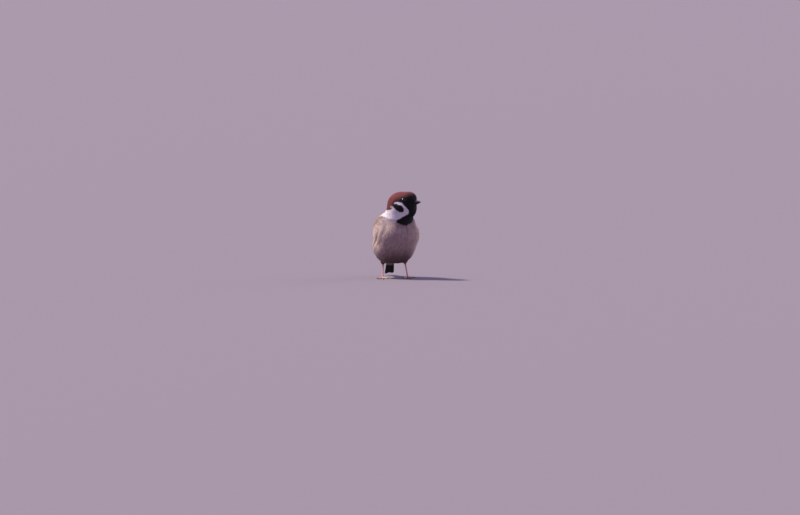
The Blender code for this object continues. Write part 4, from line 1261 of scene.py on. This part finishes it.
def wing_row(side, roots, tips, widths, low, high, rows=12, columns=7, tip=0.35, narrow=0.75, lean=0.12):
    """Vanes between roots and tips in (s, t). Widths are half widths in millimetres. Low and high
    are the layer's shares of the wing's thickness at root and tip, and lean lifts the outer web
    over its neighbour."""
    roots, tips = np.asarray(roots, float), np.asarray(tips, float)
    count = len(roots)
    a, q, shape = vane_shape(rows, columns, tip)
    centre = roots[:, None] + (tips - roots)[:, None] * a[None, :, None]
    s = np.repeat(centre[..., 0:1], columns, axis=2)
    t = np.repeat(centre[..., 1:2], columns, axis=2)
    nudge = sheet_at(side, s, np.clip(t + 0.02, 0, 1))[1] - sheet_at(side, s, np.clip(t - 0.02, 0, 1))[1]
    millimetres = np.linalg.norm(nudge, axis=-1) / 0.04 + 1e-6
    web = np.where(q < 0, narrow, 1.0)
    reach = np.broadcast_to(widths, (count,))[:, None, None] * shape[None, :, None] * (q * web)[None, None]
    t = t + reach / millimetres
    low, high = np.broadcast_to(low, (count,)), np.broadcast_to(high, (count,))
    layer = (low[:, None] + (high - low)[:, None] * a)[..., None]
    layer = layer - lean * q * smooth_step(0, 0.3, a)[None, :, None]
    inner, outer = sheet_at(side, s, t)
    away = unit(outer - inner)
    shaft = np.exp(-((q / 0.16) ** 2))[None, None, :, None] * 0.07
    upper = inner + (outer - inner) * layer[..., None] + away * shaft
    lower = upper - away * (0.08 + shaft)
    length = np.linalg.norm(upper[:, -1, columns // 2] - upper[:, 0, columns // 2], axis=-1)
    flat = np.stack([reach, a[None, :, None] * length[:, None, None] + 0 * reach], axis=-1)
    return Vanes(upper, lower, a[None, :, None] + 0 * reach, q[None, None] + 0 * reach, flat)


VANE_DARK, VANE_EDGE, RUSTY = paint(50, 40, 38), paint(186, 150, 116), paint(164, 112, 76)
WHITE_BAR, BUFF_BAR = paint(232, 222, 214), paint(214, 190, 168)
LESSER, LESSER_DARK = paint(146, 84, 62), paint(92, 54, 44)


def vane_tint(batch, centre, edge, tip=None, tip_from=0.8, edge_width=0.3, seed=0):
    """A dark centre with a pale edge, widest on the outer web, and perhaps a pale tip."""
    chance = np.random.default_rng(seed)
    tone = chance.uniform(0.85, 1.12, (len(batch.a), 1, 1, 1))
    inside = smooth_step(1 - edge_width, 1 - edge_width * 0.25, np.abs(batch.q))
    fringe = np.maximum(inside * np.where(batch.q < 0, 1.0, 0.6), smooth_step(0.95, 0.99, batch.a))
    colour = mixed(np.broadcast_to(centre, batch.upper.shape), edge, fringe)
    if tip is not None:
        colour = mixed(colour, tip, smooth_step(tip_from, tip_from + 0.06, batch.a + 0.03 * np.abs(batch.q)))
    shaft = np.exp(-((batch.q / 0.12) ** 2))[..., None]
    return colour * tone * (1 - 0.35 * shaft)


# %% The rows of wing feathers


def feather_rows(side):
    """Each row as (name, vanes, tints). A row's shares run from its inner feather, highest in t,
    to its outer one."""
    def line(count, start, end):
        return start + (end - start) * np.linspace(0.0, 1.0, count)

    def row(count, root_s, root_t, tip_s, tip_t, **sizes):
        roots = np.stack([line(count, *root_s), line(count, *root_t)], axis=1)
        tips = np.stack([line(count, *tip_s), line(count, *tip_t)], axis=1)
        return wing_row(side, roots, tips, **sizes)

    rows = []
    vanes = row(9, (0.36, 0.36), (0.34, 0.07), (0.80, 1.0), (0.52, 0.20), widths=line(9, 2.2, 1.9),
                low=line(9, 0.24, 0.08), high=line(9, 0.60, 0.12), rows=20, tip=0.14, narrow=0.5, lean=0.05)
    tints = vane_tint(vanes, VANE_DARK * 0.85, VANE_EDGE * 0.42, edge_width=0.18, seed=1)
    rows.append(("primaries", vanes, tints))
    vanes = row(7, (0.30, 0.30), (0.66, 0.28), (0.77, 0.74), (0.66, 0.22), widths=3.0,
                low=line(7, 0.42, 0.30), high=line(7, 0.80, 0.62), rows=18, tip=0.12, narrow=0.62, lean=0.06)
    rows.append(("secondaries", vanes, vane_tint(vanes, VANE_DARK, RUSTY * 1.1, edge_width=0.42, seed=2)))
    vanes = row(3, (0.26, 0.28), (0.95, 0.72), (0.56, 0.74), (0.93, 0.72), widths=line(3, 3.6, 4.0),
                low=line(3, 0.62, 0.5), high=line(3, 1.04, 0.9), rows=18, columns=9, tip=0.3,
                narrow=0.9, lean=0.08)
    rows.append(("tertials", vanes, vane_tint(vanes, VANE_DARK * 0.8, RUSTY * 1.15, edge_width=0.36, seed=3)))
    vanes = row(5, (0.20, 0.18), (0.26, 0.08), (0.46, 0.50), (0.20, 0.05), widths=1.5,
                low=0.5, high=line(5, 0.85, 0.75), tip=0.3, narrow=0.7, lean=0.08)
    rows.append(("primary_coverts", vanes, vane_tint(vanes, VANE_DARK, VANE_EDGE, edge_width=0.25, seed=5)))
    vanes = row(3, (0.11, 0.09), (0.20, 0.06), (0.27, 0.33), (0.16, 0.05), widths=1.6,
                low=0.6, high=0.98, rows=10, tip=0.4, narrow=0.7, lean=0.08)
    rows.append(("alula", vanes, vane_tint(vanes, VANE_DARK, VANE_EDGE, edge_width=0.25, seed=6)))
    vanes = row(10, (0.24, 0.20), (0.97, 0.24), (0.43, 0.415), (0.95, 0.22), widths=2.4,
                low=0.62, high=1.04, columns=9, tip=0.34, narrow=0.8, lean=0.1)
    rows.append(("greater_coverts", vanes, vane_tint(vanes, VANE_DARK, RUSTY, BUFF_BAR, 0.9, 0.45, seed=4)))
    vanes = row(8, (0.17, 0.14), (0.89, 0.2), (0.295, 0.265), (0.88, 0.18), widths=2.5,
                low=0.75, high=1.10, rows=10, columns=9, tip=0.5, narrow=0.9, lean=0.1)
    tints = vane_tint(vanes, VANE_DARK * 0.7, VANE_DARK, WHITE_BAR, 0.74, seed=7)
    rows.append(("median_coverts", vanes, tints))
    return rows


WING_NODES = {"primaries": "primaries", "secondaries": "secondaries", "greater_coverts": "coverts"}
for side, word in SIDES:
    for kind, vanes, tints in feather_rows(side):
        made = plates(f"wing_{word}_{kind}_vanes", vanes, tints)
        if kind in WING_NODES:
            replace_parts(made, f"wing_{word}_{WING_NODES[kind]}")


# %% Small coverts and the wing's own body


def small_coverts(side, word, tufts=230, count=6):
    """Soft chestnut tufts over the wing's front, spread evenly, each on its own path in (s, t)."""
    chance = np.random.default_rng(70 + side)
    total = tufts * count
    number = np.arange(tufts) + 0.5
    root_s = 0.075 + 0.085 * ((number * STEP_V) % 1.0)
    root_t = 0.02 + 0.9 * ((number * STEP_U) % 1.0)
    share = np.linspace(-1, 1, count)[None] + chance.uniform(-0.2, 0.2, (tufts, count))
    step = np.linspace(0, 1, 4)
    s = root_s[:, None, None] + 0.062 * (1 - 0.2 * share[..., None] ** 2) * step
    t = root_t[:, None, None] + share[..., None] * (0.012 + 0.03 * step)
    inner, outer = sheet_at(side, s, t)
    away = unit(outer - inner)
    lift = -0.45 + (0.75 + 0.1 * chance.uniform(-1, 1, (tufts, count, 1))) * (1 - (1 - step) ** 1.7)
    paths = (outer + away * lift[..., None]).reshape(total, 4, 3)
    dark = smooth_step(0.11, 0.155, root_s + 0.01 * wander(paths[::count, 0], 4.0))
    tints = mixed(np.tile(LESSER, (tufts, 1)), LESSER_DARK, 0.5 * dark)[:, None, None]
    # Painted shade: each blade darkens towards its root, where the tufts overlap; the random factor is the
    # feathers' own tone.
    tints = tints * (0.55 + 0.5 * step[:, None]) * chance.uniform(0.82, 1.14, (tufts, count, 1, 1))
    places = np.stack([(root_s - 0.075) / 0.085, root_t], axis=1) * 0.975 + 0.01
    return blades(f"feathers_wing_{word}", paths, away.reshape(total, 4, 3), np.full(total, 0.24),
                  tints.reshape(total, 4, 3), np.repeat(places, count, axis=0), "wing")


def wing_core(side, word):
    """A closed plate between the sheets, which no gap between vanes can look through."""
    s = np.linspace(0.015, 0.74, 50)[:, None] + np.zeros((1, 24))
    t = np.linspace(0.04, 0.96, 24)[None] + np.zeros((50, 1))
    inner, outer = sheet_at(side, s, t)
    share = 0.62 - 0.4 * smooth_step(0.08, 0.3, s) - 0.12 * smooth_step(0.4, 0.74, s)
    share = (share * (1 - 0.6 * smooth_step(0.6, 0.8, t) * smooth_step(0.36, 0.3, s)))[..., None]
    a, q = (s - s.min()) / np.ptp(s), 2 * (t - t.min()) / np.ptp(t) - 1
    sheets = (inner + (outer - inner) * share)[None], (inner + (outer - inner) * 0.02)[None]
    batch = Vanes(*sheets, a[None], q[None], np.stack([t, s], axis=-1)[None] * 20)
    # Painted shade: at the wing's front the core takes the lesser coverts' chestnut and the breast sides'
    # cream at 0.6 of their brightness.
    colour = mixed(np.broadcast_to(VANE_DARK, inner.shape), LESSER * 0.6, smooth_step(0.26, 0.18, s))
    colour = mixed(colour, LIT_BREAST_SIDE * 0.6, smooth_step(0.12, 0.08, s - 0.24 * smooth_step(0.66, 0.82, t)))
    return plates(f"wing_{word}_core", batch, colour[None], material=SKIN_FINISH)


for side, word in SIDES:
    small_coverts(side, word)
    wing_core(side, word)
print("wing pieces:", sum("wing" in piece.name for piece in PIECES))


# %% [markdown]
# ## The tail
# Twelve tail feathers lie stacked like a hand of cards, with the middle pair on top. Seen from
# above each shows an edge, and seen from below the outer pair covers the rest. The tail is
# slightly notched, because the outer feathers are a little longer.

# %% Tail feathers
TAIL_ROLL, TAIL_NOTCH = math.radians(7.0), 2.2


def tail_axes():
    """Along, side and up directions of the tail, rolled a little about its length."""
    along = unit(TAIL_TIP - TAIL_ROOT)
    side = unit(np.cross(along, [0.0, 0.0, 1.0]))
    up = np.cross(side, along)
    cos, sin = math.cos(TAIL_ROLL), math.sin(TAIL_ROLL)
    return along, side * cos + up * sin, up * cos - side * sin


def tail_vanes():
    """Feather k of twelve lies k steps from the middle. Its line fans out from the root, and it
    lies lower the further out it is."""
    along, side, up = tail_axes()
    length = np.linalg.norm(TAIL_TIP - TAIL_ROOT)
    k = np.arange(12) - 5.5
    rows, columns = 26, 9
    a, q, shape = vane_shape(rows, columns, 0.1, 0.5)
    offset = k / 5.5
    reach = length + 0.3 - TAIL_NOTCH * (1 - np.abs(offset)) ** 0.8 - 0.5 * (np.abs(offset) > 0.95)
    middle = offset[:, None] * (1.7 + 1.5 * a[None])
    half = (2.5 + 0.8 * a)[None] * shape[None]
    web = np.where(q[None] * np.sign(k)[:, None] > 0, 0.7, 1.15)
    x = middle[..., None] + half[..., None] * q * web[:, None]
    wide = np.clip(x / 6.4, -1.1, 1.1)
    sag = 1.4 * a * (1 - a)
    arch = 1.3 * (1 - wide**2) * (0.6 + 0.4 * a)[None, :, None] - sag[None, :, None]
    layer = (0.75 - 0.22 * np.abs(k))[:, None, None] - 0.10 * np.abs(q) + 0.0 * x
    points = (TAIL_ROOT + along * (a[None, :, None] * reach[:, None, None] + 0 * x)[..., None]
              + side * x[..., None] + up * (arch + layer * (0.8 - 0.25 * a)[None, :, None])[..., None])
    shaft = (np.exp(-(q / 0.14) ** 2) * 0.12)[None, None, :, None] * up
    upper, lower = points + shaft, points - up * 0.09 - shaft
    flat = np.stack([half[..., None] * q * web[:, None], a[None, :, None] * length + 0 * x], axis=-1)
    batch = Vanes(upper, lower, a[None, :, None] + 0 * x, q[None, None] + 0 * x, flat)
    # The tail's centres are near black: the dark brown tail darkened further as painted shade. Its lower
    # sheets take 0.45 of the tint, a deeper painted shade.
    tints = vane_tint(batch, paint(18, 13, 14), paint(66, 50, 42), edge_width=0.14, seed=11)
    return plates("tail_vanes", batch, tints, underside=0.45)


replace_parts(tail_vanes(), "tail")
print("tail feathers: 12")


# %% [markdown]
# ## Bill
# The bill is a short cone with a curved ridge, the culmen. Each half is a closed loft whose
# cross-section is a half ellipse over the gape. Nostrils are small pits near the base.

# %% Bill halves
BILL_BASE, BILL_LENGTH, BILL_AXIS_UP = 12.4, 9.8, -1.4


def mandible(name, rise, half_width, length):
    """Rings of a half cone. Reach t runs from inside the plumage to the tip, and the cross-
    section is wide at the gape and narrows to the ridge by a power of the sine."""
    rows, columns = 44, 40
    t = np.linspace(0.0, 1.0, rows) ** 0.85
    taper = (1.0 - t**1.9) * 0.95 + 0.05
    reach = BILL_BASE - 4.0 + t * (length + 4.0)
    droop = BILL_AXIS_UP + 1.2 * t * (1.0 - t) - 0.2 * t
    turn = np.linspace(0.0, 2 * np.pi, columns, endpoint=False)
    c, s = np.cos(turn), np.sin(turn)
    high = np.where(s > 0, np.abs(s) ** 0.8, -0.06 * np.abs(s))
    rings = np.empty((rows, columns, 3))
    rings[..., 0] = reach[:, None]
    rings[..., 1] = half_width * taper[:, None] * np.sign(c) * np.abs(c) ** 0.9
    rings[..., 2] = droop[:, None] + math.copysign(0.025, rise) + rise * taper[:, None] * high
    if rise > 0:
        over_nostril = (rings[..., 2] - droop[:, None] - 1.9) / 0.42
        pit = np.exp(-(((rings[..., 0] - 12.9) / 0.7) ** 2) - over_nostril**2)
        rings[..., 1] -= np.sign(rings[..., 1]) * 0.5 * pit
    points, faces, bake = loft(HEAD_CENTRE + rings @ HEAD_AXES)
    tints = np.broadcast_to(paint(27, 23, 26), points.shape) * (1 + 0.15 * wander(points, 2.0))[:, None]
    return make_piece(name, points, faces, HORN, tints, bake)


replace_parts(mandible("bill_upper_horn", 3.7, 3.4, BILL_LENGTH), "bill_upper")
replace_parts(mandible("bill_lower_horn", -3.2, 3.0, BILL_LENGTH - 0.7), "bill_lower")
print("bill done")


# %% [markdown]
# ## Eyes
# The eye is a wet dark ball with a brown iris and a black pupil, and the cornea bulges a little.
# Lids of bare beaded skin hold it, in a ring with a slight corner in front and behind.

# %% Eyeballs and lids


def eye_frame(side):
    """The eye's axis, and the head's back and up directions laid at right angles to it."""
    axis = EYE_AXES[side]
    back = laid_on(-HEAD_AXES[0][None], axis[None])[0]
    return axis, back, np.cross(axis, back) * (1 if side == LEFT else -1)


def eyeball(side, word):
    """A ball by polar angle and turn. Over the cornea the radius grows by a steep bell curve of
    the polar angle. The iris is a brown band between two angles, and the rest is near black."""
    axis, back, up = eye_frame(side)
    rows, columns = 40, 48
    polar = (np.linspace(0.02, 1.0, rows) ** 1.3 * np.pi * 0.98)[:, None]
    turn = np.linspace(0, 2 * np.pi, columns, endpoint=False)[None, :]
    radius = EYE_RADIUS + 0.22 * np.exp(-((polar / 0.62) ** 4))
    ball = (axis * np.cos(polar)[..., None] + back * (np.sin(polar) * np.cos(turn))[..., None]
            + up * (np.sin(polar) * np.sin(turn))[..., None])
    points, faces, bake = loft(EYES[side] + ball * radius[..., None])
    angle = np.arccos(np.clip(unit(points - EYES[side]) @ axis, -1, 1))
    tints = mixed(np.broadcast_to(paint(5, 4, 4), points.shape), paint(26, 15, 11),
                  smooth_step(0.40, 0.46, angle) * smooth_step(0.80, 0.7, angle))
    return make_piece(f"eye_{word}_ball", points, faces, WET_EYE, tints, bake)


def eyelids(side, word):
    """A beaded ring on the ball, where the polar angle wavers so that the ends are pointed."""
    axis, back, up = eye_frame(side)
    count = 96
    turn = np.linspace(0, 2 * np.pi, count, endpoint=False)
    half = 2.28 + 0.16 * np.cos(2 * turn) + 0.05 * np.cos(4 * turn)
    polar = np.arcsin(half / EYE_RADIUS)
    ways = unit(back * np.cos(turn)[:, None] + up * np.sin(turn)[:, None])
    out = axis * np.cos(polar)[:, None] + ways * np.sin(polar)[:, None]
    middle = EYES[side] + out * (EYE_RADIUS + 0.02)
    around = np.linspace(0, 2 * np.pi, 12, endpoint=False)
    thick = (0.11 + 0.025 * np.abs(np.sin(turn * 14)) + 0.05 * np.clip(np.sin(turn), 0, 1))[:, None, None]
    bead = ways[:, None] * np.cos(around)[None, :, None] + axis * np.sin(around)[None, :, None]
    rings = middle[:, None] + thick * bead
    columns = 12
    r, c = np.meshgrid(np.arange(count), np.arange(columns), indexing="ij")
    over, on = (c + 1) % columns, (r + 1) % count
    here, beyond = r * columns, on * columns
    faces = np.stack([here + c, here + over, beyond + over, beyond + c], axis=-1).reshape(-1, 4)
    points = rings.reshape(-1, 3)
    if signed_volume(points - EYES[side], faces) < 0:
        faces = faces[:, ::-1]
    bake = np.stack([r / count, c / columns], axis=-1).reshape(-1, 2) * 0.98 + 0.01
    tints = np.broadcast_to(paint(14, 11, 13), points.shape) * 1.0
    return make_piece(f"eyelids_{word}", points, [faces], LID_SKIN, tints, bake[faces.ravel()])


for side, word in SIDES:
    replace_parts(eyeball(side, word), "eye_" + word)
    eyelids(side, word)
print("eyes done")


# %% [markdown]
# ## Legs
# The tarsus has a row of overlapping plates in front and a smooth keel behind. Toes have small
# plates above and pads below, one pad between each pair of joints. All of this is radius: it
# depends on the share along the path and on the direction round it.

# %% Tarsi, toes and claws
# Each toe: its angle from straight ahead, its length, its claw's length and its number of pads.
TOES = {
    "inner": (-33.0, 10.0, 3.8, 3),
    "middle": (0.0, 13.6, 4.4, 4),
    "outer": (31.0, 10.4, 3.8, 4),
    "back": (178.0, 7.6, 5.2, 2),
}
FOOT_TURN = {LEFT: -4.0, RIGHT: -10.0}
LEG, LEG_GROOVE, CLAW_TINT = paint(200, 156, 144), paint(130, 90, 82), paint(70, 54, 50)


def tarsus(side, word):
    """A tube from ankle to hock. In front the radius steps down along each of nine plates, with
    a groove at its edge, and behind it rises to a keel. Its ends close like an ellipse."""
    ankle, hock = np.array(ANKLES[side]), np.array(HOCKS[side])
    shank = unit(hock - ankle)
    rows, sides = 90, 28
    s = np.linspace(0.0, 1.0, rows)
    path = ankle - shank * 0.5 + (hock - ankle + shank * 1.3) * s[:, None]
    radius = 0.95 * np.interp(s, [0, 0.08, 0.3, 0.8, 0.92, 1.0], [1.3, 1.15, 0.86, 0.92, 1.35, 1.2])
    _, side_way, up_way = tube_frames(path)
    turn = np.linspace(0, 2 * np.pi, sides, endpoint=False)
    ahead = unit(np.array([0.0, -1.0, 0.25]))
    front = np.cos(turn)[None] * (side_way @ ahead)[:, None] + np.sin(turn)[None] * (up_way @ ahead)[:, None]
    plate = (s * 9.0) % 1.0
    step = 0.10 * (1 - plate)[:, None] * smooth_step(0.0, 0.5, front)
    step = step - 0.07 * (np.exp(-(plate / 0.12) ** 2))[:, None] * smooth_step(0.0, 0.4, front)
    keel = 0.16 * smooth_step(-0.7, -1.0, front)
    close = np.sqrt(np.clip(1 - (np.clip(np.abs(2 * s - 1) - 0.97, 0, None) / 0.03) ** 2, 0.02, 1))
    reach = (radius[:, None] + step + keel) * close[:, None] * (1 - 0.08 * np.abs(front) ** 2)
    rings = tube(path, reach, sides)
    points, faces, bake = loft(rings)
    groove = np.exp(-(plate / 0.14) ** 2)[:, None] * smooth_step(-0.1, 0.4, front)
    tints = mixed(np.broadcast_to(LEG, (rows, sides, 3)), LEG_GROOVE, groove * 0.8).reshape(-1, 3)
    tints = np.vstack([tints, LEG, LEG])
    return make_piece(f"tarsus_{word}_scaled", points, faces, SCALES, tints, bake)


def toe_line(side, toe, count):
    """The toe's line over the floor, its heading, and its claw's length."""
    angle, length, claw, joints = TOES[toe]
    ankle = np.array(ANKLES[side])
    heading = math.radians(FOOT_TURN[side] + side * angle)
    forward = np.array([math.sin(heading), -math.cos(heading), 0.0])
    s = np.linspace(0.0, 1.0, count)
    reach = 1.6 + (length - 1.6) * s
    height = 0.82 * 0.9 + 0.55 * np.exp(-((s / 0.2) ** 2)) + 0.3 * np.sin(np.pi * s) * (1 - s)
    path = ankle * [1, 1, 0] + forward * reach[:, None] + np.array([0, 0, 1.0]) * height[:, None]
    return path, forward, claw, joints, s


def toe_piece(side, word, toe):
    """A tube along the toe. Below, pads swell by a cosine of the share. Above, three small plates
    for each pad step down towards the claw. What would sink into the floor lies flat on it."""
    path, forward, claw, joints, s = toe_line(side, toe, 64)
    sides = 24
    _, side_way, up_way = tube_frames(path)
    turn = np.linspace(0, 2 * np.pi, sides, endpoint=False)
    upness = np.cos(turn)[None] * side_way[:, 2:3] + np.sin(turn)[None] * up_way[:, 2:3]
    pad = 0.5 - 0.5 * np.cos(2 * np.pi * (s * joints + 0.15))
    plate = (s * joints * 3.0) % 1.0
    radius = 0.82 * (1.0 - 0.24 * s)[:, None]
    radius = radius * (1 + 0.16 * (pad[:, None] - 0.4) * smooth_step(0.2, -0.6, upness))
    radius = radius + 0.05 * (1 - plate)[:, None] * smooth_step(0.1, 0.6, upness)
    radius = radius * (1 + 0.07 * np.cos(2 * np.pi * s * joints))[:, None]
    close = 1.0
    for past_end in (s - 0.93, 0.07 - s):
        close = close * np.sqrt(np.clip(1 - (np.clip(past_end, 0, None) / 0.07) ** 2, 0.04, 1))
    rings = tube(path, radius * close[:, None], sides)
    rings[..., 2] = np.maximum(rings[..., 2], 0.0)
    points, faces, bake = loft(rings)
    points[:, 2] = np.maximum(points[:, 2], 0.0)
    groove = np.exp(-((plate / 0.16) ** 2))[:, None] * smooth_step(-0.1, 0.4, upness)
    tints = mixed(np.broadcast_to(LEG, (len(s), sides, 3)), LEG_GROOVE, groove * 0.75)
    tints = mixed(tints, LEG * 1.08, smooth_step(-0.2, -0.8, upness)).reshape(-1, 3)
    tints = np.vstack([tints, LEG, LEG])
    made = make_piece(f"toe_{word}_{toe}_scaled", points, faces, SCALES, tints, bake)
    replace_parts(made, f"toe_{word}_{toe}")
    return path, forward, claw


def claw_piece(word, toe, path, forward, length):
    """A hook: reach grows by the sine, and height falls by the square of the share."""
    rows, sides = 26, 16
    s = np.linspace(0.0, 1.0, rows)
    reach = -0.6 + (length + 0.6) * np.sin(s * 1.25) / np.sin(1.25)
    height = path[-1, 2] + 0.6 * np.sin(np.pi * s) - (path[-1, 2] - 0.3) * s**2
    line = path[-1] * [1, 1, 0] + forward * reach[:, None] + np.array([0, 0, 1.0]) * height[:, None]
    radii = 0.5 * (1 - s) ** 0.75 + 0.05
    rings = tube(line, radii, sides)
    rings[..., 2] = np.maximum(rings[..., 2], 0.0)
    points, faces, bake = loft(rings)
    points[:, 2] = np.maximum(points[:, 2], 0.0)
    share = np.concatenate([np.repeat(s, sides), [0.0, 1.0]])
    tints = mixed(np.broadcast_to(CLAW_TINT, points.shape), CLAW_TINT * 0.45, share)
    made = make_piece(f"claw_{word}_{toe}_horn", points, faces, CLAW_HORN, tints, bake)
    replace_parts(made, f"claw_{word}_{toe}")


def foot_pad(side, word):
    """The ball of the foot: a squat ellipsoid whose underside is cut flat by the floor."""
    ankle = np.array(ANKLES[side])
    rows, sides = 24, 40
    polar = np.linspace(0.04, np.pi - 0.04, rows)[:, None]
    turn = np.linspace(0, 2 * np.pi, sides, endpoint=False)[None]
    rings = np.stack([2.35 * np.sin(polar) ** 0.9 * np.cos(turn), 2.35 * np.sin(polar) ** 0.9 * np.sin(turn),
                      0.75 + 1.1 * np.cos(polar) + 0 * turn], axis=-1)
    rings[..., 2] = np.maximum(rings[..., 2] + 0.25, 0.0)
    points, faces, bake = loft(rings + [ankle[0], ankle[1], 0.0])
    tints = np.broadcast_to(LEG, points.shape) * (1 + 0.15 * wander(points, 1.2))[:, None]
    made = make_piece(f"foot_{word}_pad", points, faces, SCALES, tints, bake)
    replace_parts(made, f"foot_{word}")


for side, word in SIDES:
    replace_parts(tarsus(side, word), f"tarsus_{word}")
    foot_pad(side, word)
    for toe in TOES:
        claw_piece(word, toe, *toe_piece(side, word, toe))
coat = [piece for piece in PIECES if piece.name.startswith(("feathers", "wing", "tail"))]
print("pieces in all:", len(PIECES), " triangles in the coat:", sum(map(triangles_in, coat)),
      " in all:", sum(map(triangles_in, PIECES)))


# %% [markdown]
# ## Floor, light and camera
# The floor is plain and pale. A warm soft key stands to the bird's right and a little behind, a
# wide cool fill in front, and a low rim light at its left edges it against the floor. The room
# adds the rest. The long lens stands low, as for a portrait of a small bird from metres away.

# %% Floor
floor_mesh = bpy.data.meshes.new("floor")
half = 60.0
floor_corners = [(-half, -half, 0), (half, -half, 0), (half, half, 0), (-half, half, 0)]
floor_mesh.from_pydata(floor_corners, [], [(0, 1, 2, 3)])
floor = bpy.data.objects.new("floor", floor_mesh)
bpy.context.scene.collection.objects.link(floor)
floor_finish = bpy.data.materials.new("pale floor")
floor_finish.use_nodes = True
floor_shader = floor_finish.node_tree.nodes["Principled BSDF"]
floor_shader.inputs["Base Color"].default_value = (*paint(115, 107, 113), 1.0)
floor_shader.inputs["Roughness"].default_value = 0.9
floor_mesh.materials.append(floor_finish)

# %% Room and lamps
room = bpy.data.worlds.new("room")
room.use_nodes = True
background = room.node_tree.nodes["Background"]
background.inputs["Color"].default_value = (*paint(167, 152, 210), 1.0)
background.inputs["Strength"].default_value = 1.0
bpy.context.scene.world = room
bpy.context.scene.view_settings.view_transform = "Standard"
MIDDLE = Vector(((np.array(cad_box[0]) + np.array(cad_box[1])) / 2).tolist())


def lamp(name, azimuth, elevation, strength, spread, colour):
    """A sun lamp, whose light is even over the floor. Azimuth 0 is where the bird's front looks,
    90 is its left, and a wide spread softens the shadow."""
    light = bpy.data.lights.new(name, "SUN")
    light.energy, light.angle, light.color = strength, math.radians(spread), colour
    made = bpy.data.objects.new(name, light)
    bpy.context.scene.collection.objects.link(made)
    a, e = math.radians(azimuth), math.radians(elevation)
    way = Vector((math.sin(a) * math.cos(e), -math.cos(a) * math.cos(e), math.sin(e)))
    made.location = MIDDLE + way
    made.rotation_mode = "QUATERNION"
    made.rotation_quaternion = way.to_track_quat("Z", "Y")
    return made


lamp("key", -114.0, 58.0, 5.3, 7.0, (1.0, 0.92, 0.84))
lamp("fill", 45.0, 38.0, 0.35, 60.0, (0.95, 0.96, 1.0))
lamp("rim", 104.0, 16.0, 1.1, 40.0, (0.98, 0.88, 1.0))

# %% Camera
AZIMUTH, ELEVATION = math.radians(-12.0), math.radians(4.0)
LENS, DISTANCE = 240.0, 6.048
AIM_RIGHT, AIM_UP = 6.46, 23.6
level = math.cos(ELEVATION)
back = Vector((math.sin(AZIMUTH) * level, -math.cos(AZIMUTH) * level, math.sin(ELEVATION)))
right = Vector((math.cos(AZIMUTH), math.sin(AZIMUTH), 0.0))
up = back.cross(right)
camera_data = bpy.data.cameras.new("camera")
camera_data.lens, camera_data.sensor_width = LENS, 36.0
camera_data.clip_start, camera_data.clip_end = 0.1, 300.0
camera = bpy.data.objects.new("camera", camera_data)
bpy.context.scene.collection.objects.link(camera)
aim = Vector(in_frame([0.0, 0.0, 0.0]).tolist()) + (right * AIM_RIGHT + up * AIM_UP) * MM
turned = Matrix((right, up, back)).transposed().to_4x4()
camera.matrix_world = Matrix.Translation(aim + back * DISTANCE) @ turned
bpy.context.scene.camera = camera
print("camera at", [round(x, 3) for x in camera.location])
